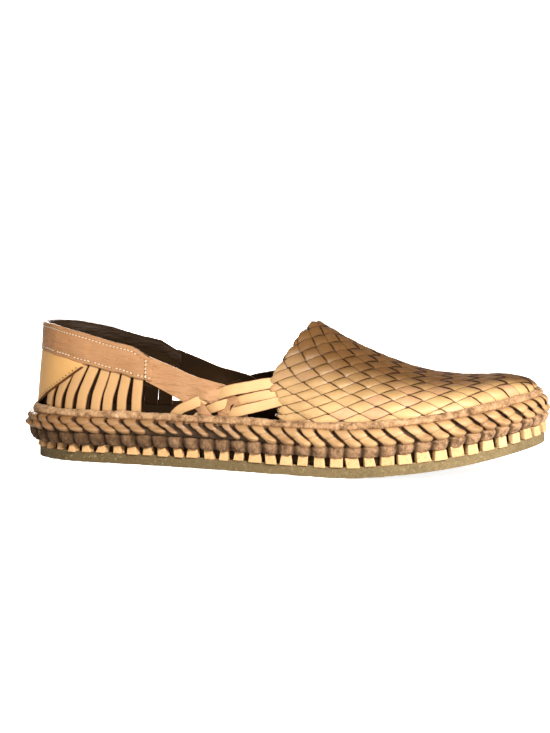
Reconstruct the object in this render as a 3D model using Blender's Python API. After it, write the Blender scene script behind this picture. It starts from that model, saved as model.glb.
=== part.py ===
"""A right shoe: closed slip-on of woven leather strips on a laced crepe sole.

Metres, +Z up, toe towards +X, the outer (lateral) side towards -Y. The shoe stands on its sole, and its
origin is the middle of its footprint. Lengths along the shoe are shares of the last, from heel (0) to toe (1).
"""

import math
from collections import namedtuple

import bmesh
import bpy
import numpy as np
from mathutils.geometry import delaunay_2d_cdt

MM = 0.001

# The last, as the leather over it measures
LAST_LENGTH = 285 * MM
BALL_WIDTH = 98 * MM
INSTEP_HEIGHT = 55 * MM
TOE_SPRING = 17.5 * MM
HEEL_LEAN = 4 * MM
SPRING_START = 0.62
HEEL_ROUND = 0.13
TOE_ROUND = 0.80
NOSE_ROUND = 0.91

# The layers of the edge, from the floor up
CREPE = 6 * MM
MIDSOLE = 5.9 * MM
RAND = 5.3 * MM
LACED_EDGE = 8.3 * MM
WELT_BEAD = 4 * MM
WELT_TOP = CREPE + MIDSOLE + RAND + LACED_EDGE + WELT_BEAD
INSOLE = 2 * MM
GAP = 0.3 * MM

# The upper's leather
WALL = 1.6 * MM
STRIP_RAISE = 1.4 * MM
PLAIN_FACE = -1.2 * MM
INNER_FACE = PLAIN_FACE - WALL
BAND_THICKNESS = 1.4 * MM
BAND_LIP = 0.8 * MM
COUNTER_THICKNESS = 1.1 * MM
LAID_GAP = 0.5 * MM
MARGIN = WELT_TOP - (CREPE + MIDSOLE + GAP)
SLOT_SEAT = 0.4 * MM
WELT_CLEARANCE = 0.8 * MM
EDGE_CLEARANCE = 0.4 * MM
INNER_CLEARANCE = 2.5 * MM

# The edge seen from above, as lengths outside the last
SOLE_SET_BACK = 0.9 * MM
SOLE_TOE_REACH = 5.6 * MM
LACE_PITCH = 9.3 * MM
TAB_DEPTH = 3.2 * MM
TAB_SLOPE = 0.25 * MM
TAB_SHARE = 0.55
EDGE_REACH = 6.5 * MM
BAND_REACH = 4.8 * MM
BAND_TUCK = 0.9 * MM
STITCH_SLANT = 4.5 * MM
STITCH_DEPTH = 1.3 * MM
FOOTBED_GAP = 0.3 * MM

STATIONS = 48

Section = namedtuple("Section", "share centre half crown flank shoulder")
LAST = (
    # centre and half are shares of BALL_WIDTH, crown of INSTEP_HEIGHT; flank and shoulder are roundness
    Section(0.00, 0.000, 0.330, 1.75, 2.6, 2.0),
    Section(0.12, 0.000, 0.330, 1.72, 2.6, 2.0),
    Section(0.25, -0.010, 0.335, 1.65, 2.6, 2.0),
    Section(0.40, -0.030, 0.360, 1.35, 2.4, 1.9),
    Section(0.56, -0.030, 0.430, 0.97, 1.9, 1.55),
    Section(0.68, -0.010, 0.480, 0.64, 1.8, 1.6),
    Section(0.78, 0.010, 0.470, 0.40, 1.8, 1.8),
    Section(0.88, 0.040, 0.420, 0.26, 1.9, 2.0),
    Section(0.96, 0.065, 0.360, 0.205, 2.0, 2.2),
    Section(1.00, 0.075, 0.330, 0.19, 2.0, 2.2),
)

# The weave, as measured on the shoe: its rows are numbered along the ridge and its strips across it
RIDGE_STRIP = 5.5
RIDGE_DRIFT = 0.3
CELL_WIDE = 11.5 * MM
CELL_LESS = 1.18 * MM
CELL_MORE = 0.137 * MM
CELL_TAPER = 0.048 * MM
TAPER_LESS = 0.0134 * MM
EVEN_STRIPS = 5.3
EDGE_CELL = 8 * MM
ROW_SHARE = (0.641, 0.0355, 0.0021)
LAST_GROWING_ROW = 4
TOE_ROW_SHARE = 0.05
SWEEP = 0.0293
SWEEP_TURN = 0.0094

Rim = namedtuple("Rim", "share rise")
COLLAR = (
    # rise is the height over the welt, a share of INSTEP_HEIGHT
    Rim(0.000, 0.88),
    Rim(0.042, 0.865),
    Rim(0.112, 0.80),
    Rim(0.184, 0.71),
    Rim(0.223, 0.68),
    Rim(0.261, 0.575),
    Rim(0.363, 0.355),
    Rim(0.396, 0.29),
    Rim(0.444, 0.34),
    Rim(0.509, 0.41),
    Rim(0.521, 0.525),
    Rim(0.533, 0.636),
    Rim(0.5456, 0.74),
    Rim(0.549, 0.81),
    Rim(0.5596, 0.89),
)
THROAT_PEAK = 0.574
THROAT_CORNER = Rim(0.509, 0.41)
WEAVE_FOOT = 0.541
BAND_FOOT = (
    Rim(0.000, 0.575),
    Rim(0.061, 0.535),
    Rim(0.130, 0.455),
    Rim(0.202, 0.375),
    Rim(0.247, 0.325),
)
BAND_END = 0.266
COUNTER_EDGE = (
    Rim(0.000, 0.03),
    Rim(0.040, 0.15),
    Rim(0.077, 0.27),
    Rim(0.118, 0.42),
)

Slot = namedtuple("Slot", "foot head head_rise foot_width head_width")
QUARTER_SLOTS = (
    # foot and head are shares of the length; head_rise is a share of INSTEP_HEIGHT
    Slot(0.0530, 0.062, 0.125, 0.0056, 0.0028),
    Slot(0.0760, 0.092, 0.235, 0.0070, 0.0035),
    Slot(0.1020, 0.124, 0.345, 0.0090, 0.0040),
    Slot(0.1310, 0.158, 0.400, 0.0080, 0.0042),
    Slot(0.1580, 0.179, 0.372, 0.0066, 0.0042),
    Slot(0.1860, 0.2015, 0.345, 0.0080, 0.0042),
    Slot(0.2145, 0.2235, 0.325, 0.0080, 0.0042),
)
Corner = namedtuple("Corner", "share girth")
OPEN_GAPS = {
    # girth is the length up the wall from the welt, a share of INSTEP_HEIGHT
    "behind the side straps": (
        Corner(0.2455, 0.012),
        Corner(0.2470, 0.312),
        Corner(0.2560, 0.268),
        Corner(0.3240, 0.122),
        Corner(0.2990, 0.016),
    ),
    "under the first strap": (Corner(0.422, 0.225), Corner(0.505, 0.305), Corner(0.446, 0.208)),
    "over the welt": (Corner(0.468, 0.020), Corner(0.541, 0.150), Corner(0.527, 0.018)),
}
LACING = (
    # corners where three side straps (rows) cross three fingers of the collar strap (columns)
    (Corner(0.430, 0.335), Corner(0.396, 0.285), Corner(0.354, 0.180), Corner(0.325, 0.113)),
    (Corner(0.436, 0.195), Corner(0.407, 0.180), Corner(0.374, 0.109), Corner(0.347, 0.045)),
    (Corner(0.447, 0.144), Corner(0.430, 0.085), Corner(0.386, 0.022), None),
)


def clear_scene():
    for item in list(bpy.data.objects):
        bpy.data.objects.remove(item, do_unlink=True)


def column(rows, name):
    return np.array([getattr(row, name) for row in rows])


def along(name, share):
    """A column of the last's table, read as one smooth curve."""
    shares = column(LAST, "share")
    values = column(LAST, name)
    slopes = np.gradient(values, shares)
    share = np.clip(share, 0, 1)
    row = np.clip(np.searchsorted(shares, share, side="right") - 1, 0, len(shares) - 2)
    step = shares[row + 1] - shares[row]
    u = (share - shares[row]) / step
    start = (2 * u**3 - 3 * u**2 + 1) * values[row] + (u**3 - 2 * u**2 + u) * step * slopes[row]
    end = (3 * u**2 - 2 * u**3) * values[row + 1] + (u**3 - u**2) * step * slopes[row + 1]
    return start + end


def spring(share):
    """Lift of the whole sole towards the toe."""
    return TOE_SPRING * np.clip((share - SPRING_START) / (1 - SPRING_START), 0, 1) ** 1.6


def half_width(share, out):
    heel = np.clip(1 - share / HEEL_ROUND, 0, 1)
    toe = np.clip((share - TOE_ROUND) / (1 - TOE_ROUND), 0, 1)
    return (along("half", share) * BALL_WIDTH + out) * np.sqrt(1 - heel**2) * np.sqrt(1 - toe**2.3)


def forward(share, out):
    """Distance from the back of the last, on an outline that lies out from it."""
    return share * (LAST_LENGTH + 2 * out) - out


def rim(share, side, out, height):
    """A point of the outline: side is -1 on the outer side and 1 on the inner side."""
    x = forward(share, out)
    y = along("centre", share) * BALL_WIDTH + side * half_width(share, out)
    return np.stack([x, y, height + spring(share)], -1)


def leather(share, angle, side, out):
    """A point of the last's surface, from the welt (angle 0) to the ridge (a quarter turn)."""
    nose = np.clip((share - NOSE_ROUND) / (1 - NOSE_ROUND), 0, 1)
    crown = (along("crown", share) * INSTEP_HEIGHT + out) * (1 - nose**2) ** (1 / 1.7)
    rise = crown * np.sin(angle) ** (2 / along("flank", share))
    reach = half_width(share, out) * np.cos(angle) ** (2 / along("shoulder", share))
    lean = HEEL_LEAN * rise / INSTEP_HEIGHT * np.clip(1 - share / 0.3, 0, 1) ** 2
    y = along("centre", share) * BALL_WIDTH + side * reach
    return np.stack([forward(share, out) + lean, y, WELT_TOP + spring(share) + rise], -1)


# Tables of the girth, from the welt up to the ridge, at close sections of the last
TABLE_SHARES = np.linspace(0, 1, 241)
TABLE_ANGLES = np.linspace(0, math.pi / 2, 73)


def girth_table():
    rows = []
    for share in TABLE_SHARES:
        line = leather(np.full(len(TABLE_ANGLES), share), TABLE_ANGLES, 1, 0)
        steps = np.linalg.norm(np.diff(line, axis=0), axis=1)
        rows.append(np.concatenate([[0], np.cumsum(steps)]))
    return np.array(rows)


GIRTHS = girth_table()


def girth_row(share):
    place = min(max(share, 0), 1) * (len(TABLE_SHARES) - 1)
    low = min(int(place), len(TABLE_SHARES) - 2)
    part = place - low
    return GIRTHS[low] * (1 - part) + GIRTHS[low + 1] * part


def pattern_half(share):
    """Half the pattern's width: the girth up to the ridge, level behind the throat, where it is open."""
    return girth_row(max(share, LEVEL_BEHIND))[-1]


def girth_at_rise(share, rise):
    """Length up the wall to a height over the welt."""
    count = len(TABLE_ANGLES)
    heights = leather(np.full(count, share), TABLE_ANGLES, 1, 0)[:, 2] - WELT_TOP - spring(share)
    return float(np.interp(rise, heights, girth_row(share)))


# The pattern is drawn flat: run lies along the shoe, with the heel's curve rolled out, and cross lies over
# it, negative on the outer side, zero on the ridge
LEVEL_BEHIND = 0.9 * THROAT_PEAK
HEEL_RADIUS = HEEL_ROUND * LAST_LENGTH
RUN_END = HEEL_RADIUS * math.pi / 2 + LAST_LENGTH - HEEL_RADIUS
SEAM = 1e-6


def run_of(share):
    x = share * LAST_LENGTH
    if x < HEEL_RADIUS:
        return HEEL_RADIUS * math.acos(1 - x / HEEL_RADIUS)
    return HEEL_RADIUS * (math.pi / 2 - 1) + x


def share_of(run):
    if run > RUN_END - SEAM:
        return 1.0
    if run < HEEL_RADIUS * math.pi / 2:
        return HEEL_RADIUS * (1 - math.cos(max(run, 0) / HEEL_RADIUS)) / LAST_LENGTH
    return min((run - HEEL_RADIUS * (math.pi / 2 - 1)) / LAST_LENGTH, 1)


def on_pattern(share, girth, side):
    """Pattern point of a place up the wall; below the welt the girth is negative."""
    return run_of(share), side * (pattern_half(share) - girth)


def on_last(run, cross, out):
    """Place of a pattern point on the leather, out from the last's surface."""
    share = share_of(run)
    side = -1 if cross < 0 else 1
    girth = pattern_half(share) - abs(cross)
    angle = float(np.interp(girth, girth_row(share), TABLE_ANGLES))
    point = leather(np.array([share]), np.array([angle]), side, out)[0]
    point[2] += min(girth, 0)
    return point


def edge_shares():
    """Stations along the shoe, closer at the heel and the toe."""
    return [(1 - math.cos(math.pi * i / STATIONS)) / 2 for i in range(STATIONS + 1)]


def rim_line(rows, side):
    """A table of heights as pattern points at its own rows."""
    return [
        on_pattern(row.share, girth_at_rise(row.share, row.rise * INSTEP_HEIGHT), side)
        for row in rows
    ]


def rise_at(rows, share):
    return float(np.interp(share, column(rows, "share"), column(rows, "rise"))) * INSTEP_HEIGHT


def finer(rows, last_share, step=0.03):
    """The rows of a table of heights, with more between them where the heel curves."""
    shares = {row.share for row in rows if row.share <= last_share} | {last_share}
    shares |= {s for s in edge_shares() if s < min(last_share, 0.2)}
    kept = []
    for share in sorted(shares):
        if kept and share - kept[-1].share < step * 0.12:
            continue
        kept.append(Rim(share, rise_at(rows, share) / INSTEP_HEIGHT))
    return kept


def slot_outline(slot, side):
    """One slot between two strips of the quarter, a little bowed."""
    height = girth_at_rise(slot.head, slot.head_rise * INSTEP_HEIGHT)
    line = []
    for edge in (-1, 1):
        points = []
        for part in (0, 0.5, 1):
            share = slot.foot + (slot.head - slot.foot) * part**1.5
            width = slot.foot_width + (slot.head_width - slot.foot_width) * part
            girth = SLOT_SEAT + (height - SLOT_SEAT) * part
            points.append(on_pattern(share + edge * width / 2, girth, side))
        line += points[::edge]
    return line


def gap_outline(corners, side):
    return [on_pattern(c.share, c.girth * INSTEP_HEIGHT, side) for c in corners]


def inside(point, outline):
    """Whether a pattern point lies in a closed outline."""
    x, y = point
    odd = False
    for (x1, y1), (x2, y2) in zip(outline, outline[1:] + outline[:1]):
        if (y1 > y) != (y2 > y) and x < x1 + (y - y1) / (y2 - y1) * (x2 - x1):
            odd = not odd
    return odd


def distance_to(point, outline):
    """Shortest distance from a pattern point to an outline's edges."""
    p = np.array(point)
    a = np.array(outline)
    b = np.roll(a, -1, axis=0)
    way = b - a
    t = np.clip(((p - a) * way).sum(1) / np.maximum((way**2).sum(1), 1e-12), 0, 1)
    return float(np.linalg.norm(a + way * t[:, None] - p, axis=1).min())


class Pattern:
    """A flat pattern of points, cut lines and outlines, made into a wall over the last."""

    def __init__(self, outlines, holes=()):
        self.outlines = outlines
        self.holes = list(holes)
        self.points = []
        self.faces_out = []
        self.edges = []
        for line in list(outlines) + self.holes:
            self.add_line(line, closed=True)

    def add(self, point, raised=False):
        self.points.append(point)
        self.faces_out.append(raised)
        return len(self.points) - 1

    def add_line(self, line, closed=False, raised=False):
        ids = [self.add(point, raised) for point in line]
        self.edges += list(zip(ids, ids[1:]))
        if closed:
            self.edges.append((ids[-1], ids[0]))

    def holds(self, point):
        if not any(inside(point, line) for line in self.outlines):
            return False
        return not any(inside(point, line) for line in self.holes)

    def clear_of_edges(self, point, clearance):
        lines = list(self.outlines) + self.holes
        return self.holds(point) and all(distance_to(point, line) > clearance for line in lines)

    def triangles(self, points, edges):
        scaled = [(x / MM, y / MM) for x, y in points]
        verts, _, faces, origins, _, _ = delaunay_2d_cdt(scaled, edges, [], 0, 1e-4)
        flat = [(v.x * MM, v.y * MM) for v in verts]
        kept = []
        for face in faces:
            centre = tuple(sum(flat[i][k] for i in face) / 3 for k in (0, 1))
            if self.holds(centre):
                kept.append(tuple(face))
        return flat, kept, origins

    def wall(self, name, outer, inner, raise_by=0.0, inner_points=(), inner_lines=()):
        """A closed wall: outer and inner are the distances of its faces from the last's surface."""
        flat, faces, origins = self.triangles(self.points, self.edges)
        raised = [any(self.faces_out[i] for i in ids) for ids in origins]
        rim_edges = boundary(faces)
        rim_ids = sorted({i for edge in rim_edges for i in edge})
        place = {old: new for new, old in enumerate(rim_ids)}
        back_points = [flat[i] for i in rim_ids] + list(inner_points)
        back_edges = [(place[a], place[b]) for a, b in rim_edges]
        for line in inner_lines:
            first = len(back_points)
            back_points += line
            back_edges += [(i, i + 1) for i in range(first, first + len(line) - 1)]
        back_flat, back_faces, back_origins = self.triangles(back_points, back_edges)
        back_of = {old: new for new, ids in enumerate(back_origins) for old in ids}
        mesh = bmesh.new()
        front = [
            mesh.verts.new(on_last(x, y, outer + (raise_by if high else 0)))
            for (x, y), high in zip(flat, raised)
        ]
        back = [mesh.verts.new(on_last(x, y, inner)) for x, y in back_flat]
        for a, b, c in faces:
            mesh.faces.new((front[a], front[b], front[c]))
        for a, b, c in back_faces:
            mesh.faces.new((back[c], back[b], back[a]))
        for a, b in rim_edges:
            if on_seam(flat[a]) and on_seam(flat[b]):
                continue
            low_a = back[back_of[place[a]]]
            low_b = back[back_of[place[b]]]
            mesh.faces.new((front[b], front[a], low_a, low_b))
        return finish(name, mesh)


def on_seam(point):
    """At the back of the heel and at the tip of the toe the pattern closes on itself."""
    return point[0] < SEAM or point[0] > RUN_END - SEAM


def boundary(faces):
    """Edges that only one triangle has, in its own direction."""
    found = {}
    for face in faces:
        for a, b in zip(face, face[1:] + face[:1]):
            found.setdefault((min(a, b), max(a, b)), []).append((a, b))
    return [ways[0] for ways in found.values() if len(ways) == 1]


def finish(name, mesh):
    """Turns a bmesh into a named object with its faces pointing out."""
    bmesh.ops.remove_doubles(mesh, verts=mesh.verts, dist=1e-6)
    bmesh.ops.dissolve_degenerate(mesh, edges=mesh.edges, dist=1e-7)
    bmesh.ops.recalc_face_normals(mesh, faces=mesh.faces)
    if mesh.calc_volume(signed=True) < 0:
        bmesh.ops.reverse_faces(mesh, faces=mesh.faces)
    data = bpy.data.meshes.new(name)
    mesh.to_mesh(data)
    mesh.free()
    item = bpy.data.objects.new(name, data)
    bpy.context.scene.collection.objects.link(item)
    return item


def paint(item, colour, roughness):
    """Gives a piece its own leather, suede or rubber."""
    material = bpy.data.materials.new(item.name)
    material.use_nodes = True
    shader = material.node_tree.nodes["Principled BSDF"]
    shader.inputs["Base Color"].default_value = (*colour, 1)
    shader.inputs["Roughness"].default_value = roughness
    item.data.materials.append(material)
    item.data.shade_smooth()
    item.data.set_sharp_from_angle(angle=math.radians(35))


def slab(name, stations, rows):
    """A solid layer under the foot. Each row gives its height and, for a station, its distance out."""
    mesh = bmesh.new()
    loops = []
    for height, out_at in rows:
        sides = []
        for side in (-1, 1):
            line = []
            for number, share in enumerate(stations):
                out = out_at(number, share)
                point = rim(np.array([share]), side, out, height)[0]
                line.append(mesh.verts.new(point))
            sides.append(line)
        loops.append(sides)
    for (low_left, low_right), (high_left, high_right) in zip(loops, loops[1:]):
        for i in range(len(stations) - 1):
            mesh.faces.new((low_left[i], low_left[i + 1], high_left[i + 1], high_left[i]))
            mesh.faces.new((low_right[i + 1], low_right[i], high_right[i], high_right[i + 1]))
    for left, right in (loops[0], loops[-1]):
        for i in range(len(stations) - 1):
            mesh.faces.new((left[i], right[i], right[i + 1], left[i + 1]))
    return finish(name, mesh)


def hoop(name, stations, profile):
    """A closed ring round the shoe. profile gives, for a station, the section's points (out, height)."""
    mesh = bmesh.new()
    rings = []
    for number, (share, side) in enumerate(stations):
        ring = []
        for out, height, shift in profile(number, share):
            place, place_side = moved(share, side, shift)
            ring.append(mesh.verts.new(rim(np.array([place]), place_side, out, height)[0]))
        rings.append(ring)
    for ring, after in zip(rings, rings[1:] + rings[:1]):
        for i in range(len(ring)):
            j = (i + 1) % len(ring)
            mesh.faces.new((ring[i], ring[j], after[j], after[i]))
    return finish(name, mesh)


# The length round the outline, so that stitches and tabs keep an even pitch
ROUND_ANGLES = np.linspace(0, math.pi, 721)
ROUND_SHARES = (1 - np.cos(ROUND_ANGLES)) / 2


def side_lengths(side):
    line = rim(ROUND_SHARES, side, 0.0, 0.0)
    steps = np.linalg.norm(np.diff(line[:, :2], axis=0), axis=1)
    return np.concatenate([[0], np.cumsum(steps)])


LENGTHS = {-1: side_lengths(-1), 1: side_lengths(1)}
ROUND = LENGTHS[-1][-1] + LENGTHS[1][-1]
LACES = 2 * round(ROUND / 2 / LACE_PITCH)


def at_length(length):
    """Share and side at a length round the outline, from the heel along the outer side."""
    length %= ROUND
    if length <= LENGTHS[-1][-1]:
        return float(np.interp(length, LENGTHS[-1], ROUND_SHARES)), -1
    return float(np.interp(ROUND - length, LENGTHS[1], ROUND_SHARES)), 1


def moved(share, side, shift):
    """A place on the outline, moved along it."""
    if shift == 0:
        return share, side
    here = float(np.interp(share, ROUND_SHARES, LENGTHS[side]))
    return at_length((here if side < 0 else ROUND - here) + shift)


def ring_stations():
    shares = edge_shares()
    return [(s, -1) for s in shares] + [(s, 1) for s in reversed(shares[1:-1])]


def sole_out(share):
    return SOLE_TOE_REACH * share**1.2 - SOLE_SET_BACK


def make_outsole():
    """Crepe slab, flat from the heel to the ball and turned up at the toe."""
    rows = (
        (0.0, lambda number, share: sole_out(share) - 0.1 * CREPE),
        (0.2 * CREPE, lambda number, share: sole_out(share)),
        (CREPE, lambda number, share: sole_out(share) + 0.05 * CREPE),
    )
    item = slab("outsole", edge_shares(), rows)
    paint(item, (0.245, 0.195, 0.125), 0.85)


def make_midsole():
    """Recessed layer, with the ends of the lacing straps as light ribs round its side."""
    count = LACES // 2
    pitch = LENGTHS[-1][-1] / count
    stations = [0.0]
    ribs = [False]
    for number in range(count):
        start = (number + 0.5 - TAB_SHARE / 2) * pitch
        end = start + TAB_SHARE * pitch
        for length, rib in ((start, False), (start, True), (end, True), (end, False)):
            nudge = TAB_SLOPE if rib == (length == start) else -TAB_SLOPE
            stations.append(float(np.interp(length + nudge, LENGTHS[-1], ROUND_SHARES)))
            ribs.append(rib)
    stations.append(1.0)
    ribs.append(False)

    def out(number, share):
        return sole_out(share) - (GAP if ribs[number] else TAB_DEPTH + GAP)

    item = slab("midsole", stations, ((CREPE + GAP, out), (CREPE + MIDSOLE, out)))
    paint(item, (0.55, 0.40, 0.24), 0.8)


def make_insole():
    """Footbed, lying on the midsole inside the upper's tucked edge."""
    def out(number, share):
        return INNER_FACE - FOOTBED_GAP

    foot = CREPE + MIDSOLE + GAP
    item = slab("insole", edge_shares(), ((foot, out), (foot + INSOLE, out)))
    paint(item, (0.30, 0.20, 0.12), 0.75)


def make_rand():
    """Suede band, the groove that the lacing fills, and the bead over the upper's edge."""
    foot = CREPE + MIDSOLE + GAP
    shelf = CREPE + MIDSOLE + RAND
    roof = shelf + LACED_EDGE
    inner = PLAIN_FACE + GAP
    bead = WELT_BEAD

    def profile(number, share):
        return (
            (inner, foot, 0),
            (inner, roof + 0.70 * bead, 0),
            (inner + 0.28 * bead, WELT_TOP + 0.1 * bead, 0),
            (inner + 0.72 * bead, roof + 0.95 * bead, 0),
            (inner + 1.10 * bead, roof + 0.45 * bead, 0),
            (inner + 0.95 * bead, roof + 0.10 * bead, 0),
            (inner + 0.5 * bead, roof + 0.06 * bead, 0),
            (inner + 0.5 * bead, shelf, 0),
            (BAND_REACH, shelf, 0),
            (BAND_REACH - BAND_TUCK, (shelf + foot) / 2, 0),
            ((0.17 + 0.46 * share) * BAND_REACH, foot, 0),
        )

    item = hoop("rand", ring_stations(), profile)
    paint(item, (0.25, 0.155, 0.09), 0.95)


def make_braid():
    """Thong whipped over the edge: a rope of slanted stitches in the rand's groove."""
    count = LACES
    pitch = ROUND / LACES
    shelf = CREPE + MIDSOLE + RAND
    back = PLAIN_FACE + GAP + 0.68 * WELT_BEAD
    stations = []
    peaks = []
    for number in range(count):
        stations += [at_length(number * pitch), at_length((number + 0.4) * pitch)]
        peaks += [False, True]

    def profile(number, share):
        sunk = 0 if peaks[number] else STITCH_DEPTH
        low = shelf + GAP
        high = shelf + LACED_EDGE - GAP
        tall = high - low
        rows = (
            (back, 0.0, 0),
            (back, 1.0, 0),
            (0.63 * EDGE_REACH - 0.7 * sunk, 1.0, -0.5),
            (0.89 * EDGE_REACH - sunk, 0.74, -0.24),
            (EDGE_REACH - sunk, 0.42, 0.08),
            (0.85 * EDGE_REACH - sunk, 0.12, 0.38),
            (0.6 * EDGE_REACH - 0.7 * sunk, 0.0, 0.5),
        )
        return [(out, low + tall * part, STITCH_SLANT * slant) for out, part, slant in rows]

    item = hoop("braid", stations, profile)
    paint(item, (0.62, 0.40, 0.19), 0.55)


def weave_node(p, q):
    """Pattern point where two strip edges cross, or None past the ends of the last.

    Rows are counted along the ridge and strips across it, as they lie on the real shoe.
    """
    row = (p + q) / 2
    strips = RIDGE_STRIP - RIDGE_DRIFT * (math.hypot(row, 1) + row) / 2 - (p - q) / 2
    near = min(abs(strips), EVEN_STRIPS)
    wide = CELL_WIDE - CELL_LESS * row + CELL_MORE * row**2
    cross = near * wide - (CELL_TAPER - TAPER_LESS * row) * near**3 + (abs(strips) - near) * EDGE_CELL
    first, step, growth = ROW_SHARE
    low = min(row, LAST_GROWING_ROW)
    share = first + step * low + growth * low**2 + TOE_ROW_SHARE * (row - low)
    share += (SWEEP_TURN * row - SWEEP) * (cross / (BALL_WIDTH / 2)) ** 2
    if not 0 < share < 1:
        return None
    return run_of(share), -math.copysign(cross, strips)


def blend(corners, s, t):
    """A point inside four corners, s from the first to the second and t from the first to the fourth."""
    a, b, c, d = (np.array(corner) for corner in corners)
    return tuple((a * (1 - s) + b * s) * (1 - t) + (d * (1 - s) + c * s) * t)


def add_crossing(pattern, corners, along_first):
    """One strip passing over another: its raised face, longer along the strip that is on top."""
    ends, sides = (0.26, 0.10)
    s, t = (ends, sides) if along_first else (sides, ends)
    pattern.add_line(corners, closed=True)
    inset = [blend(corners, *place) for place in ((s, t), (1 - s, t), (1 - s, 1 - t), (s, 1 - t))]
    pattern.add_line(inset, closed=True, raised=True)


def above_welt(point, clearance):
    share = share_of(point[0])
    return pattern_half(share) - abs(point[1]) > clearance


def in_vamp(point):
    """Whether a pattern point lies ahead of the side straps."""
    share = share_of(point[0])
    height = (pattern_half(share) - abs(point[1])) / (THROAT_CORNER.rise * INSTEP_HEIGHT)
    return share > WEAVE_FOOT + (THROAT_CORNER.share - WEAVE_FOOT) * min(height, 1)


def add_weave(pattern):
    """The plain weave of the toe, each strip over one and under one."""
    reach = 24
    nodes = {}
    for p in range(-reach, reach + 1):
        for q in range(-reach, reach + 1):
            point = weave_node(p, q)
            if not point or not in_vamp(point):
                continue
            if above_welt(point, WELT_CLEARANCE) and pattern.clear_of_edges(point, EDGE_CLEARANCE):
                nodes[p, q] = point
    for p, q in nodes:
        around = [(p, q), (p + 1, q), (p + 1, q + 1), (p, q + 1)]
        if not all(place in nodes for place in around):
            continue
        corners = [nodes[place] for place in around]
        if all(pattern.holds(blend(corners, s, t)) for s, t in ((0.5, 0), (1, 0.5), (0.5, 1), (0, 0.5))):
            add_crossing(pattern, corners, (p + q) % 2 == 1)
    return nodes


def add_lacing(pattern, side):
    """The crossings of the side straps with the fingers of the collar strap."""
    for row, (upper, lower) in enumerate(zip(LACING, LACING[1:])):
        for place in range(len(upper) - 1):
            four = (upper[place], upper[place + 1], lower[place + 1], lower[place])
            if None in four:
                continue
            corners = gap_outline(four, side)
            add_crossing(pattern, corners, (row + place) % 2 == 0)


def upper_outline():
    """The upper's pattern: from the heel along the outer edge to the toe and back, then round the collar."""
    shares = edge_shares()
    outer_foot = [on_pattern(share, -MARGIN, -1) for share in shares]
    inner_foot = [on_pattern(share, -MARGIN, 1) for share in reversed(shares)]
    collar = finer(COLLAR, COLLAR[-1].share)
    inner_top = rim_line(collar, 1)
    outer_top = rim_line(reversed(collar), -1)
    peak = [(run_of(THROAT_PEAK), 0.0)]
    toe_tip = [(RUN_END, 0.0)]
    return outer_foot + toe_tip + inner_foot + inner_top + peak + outer_top


def make_upper():
    """One hollow wall of leather, open at the collar, between its strips and underneath."""
    holes = []
    for side in (-1, 1):
        holes += [slot_outline(slot, side) for slot in QUARTER_SLOTS]
        holes += [gap_outline(corners, side) for corners in OPEN_GAPS.values()]
    pattern = Pattern([upper_outline()], holes)
    margin_lines = []
    for side in (-1, 1):
        margin_lines.append([on_pattern(share, 0, side) for share in edge_shares()])
        for share in edge_shares():
            margin_lines.append([on_pattern(share, -MARGIN, side), on_pattern(share, 0, side)])
        add_lacing(pattern, side)
    for line in margin_lines:
        pattern.add_line(line)
    nodes = add_weave(pattern)
    inner_points = [point for (p, q), point in nodes.items() if p % 2 == 0 and q % 2 == 0]
    for share in edge_shares():
        for side in (-1, 1):
            for rise in (0.2, 0.4, 0.6):
                point = on_pattern(share, rise * INSTEP_HEIGHT, side)
                if share < 0.5 and pattern.clear_of_edges(point, INNER_CLEARANCE):
                    pattern.add(point)
                    inner_points.append(point)
    item = pattern.wall("upper", PLAIN_FACE, INNER_FACE, STRIP_RAISE, inner_points, margin_lines)
    paint(item, (0.66, 0.42, 0.20), 0.5)


def heel_overlay(name, top, foot, thickness):
    """A layer laid on the upper round the heel, between two tables of heights."""
    halves = [rim_line(top, side) + rim_line(reversed(foot), side) for side in (-1, 1)]
    pattern = Pattern(halves)
    shares = [row.share for row in foot[:-1]]
    middle = [Rim(share, (rise_at(top, share) + rise_at(foot, share)) / 2 / INSTEP_HEIGHT) for share in shares]
    lines = [rim_line(middle, side) for side in (-1, 1)]
    for line in lines:
        pattern.add_line(line)
    seat = PLAIN_FACE + LAID_GAP
    return pattern.wall(name, seat + thickness, seat, inner_lines=lines)


def make_collar_band():
    """Folded band, stitched round the top of the heel."""
    foot = finer(BAND_FOOT, BAND_FOOT[-1].share)
    lip = BAND_LIP / INSTEP_HEIGHT
    top = [Rim(row.share, row.rise + lip) for row in finer(COLLAR, BAND_END)]
    item = heel_overlay("collar_band", top, foot, BAND_THICKNESS)
    paint(item, (0.62, 0.40, 0.24), 0.55)


def make_heel_counter():
    """Smooth patch round the back of the heel, from the welt up to the band."""
    gap = GAP / INSTEP_HEIGHT
    top = [Rim(row.share, row.rise - gap) for row in finer(BAND_FOOT, COUNTER_EDGE[-1].share)]
    foot = finer(COUNTER_EDGE, COUNTER_EDGE[-1].share)[:-1]
    item = heel_overlay("heel_counter", top, foot, COUNTER_THICKNESS)
    paint(item, (0.68, 0.43, 0.20), 0.5)


def stand_on_origin():
    """Moves the whole shoe so that the middle of its footprint is the origin."""
    corners = []
    for item in bpy.data.objects:
        corners += [vertex.co for vertex in item.data.vertices]
    low = [min(corner[k] for corner in corners) for k in range(3)]
    high = [max(corner[k] for corner in corners) for k in range(3)]
    shift = (-(low[0] + high[0]) / 2, -(low[1] + high[1]) / 2, -low[2])
    for item in bpy.data.objects:
        for vertex in item.data.vertices:
            vertex.co = [vertex.co[k] + shift[k] for k in range(3)]


clear_scene()
make_outsole()
make_midsole()
make_insole()
make_rand()
make_braid()
make_upper()
make_collar_band()
make_heel_counter()
stand_on_origin()
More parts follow.
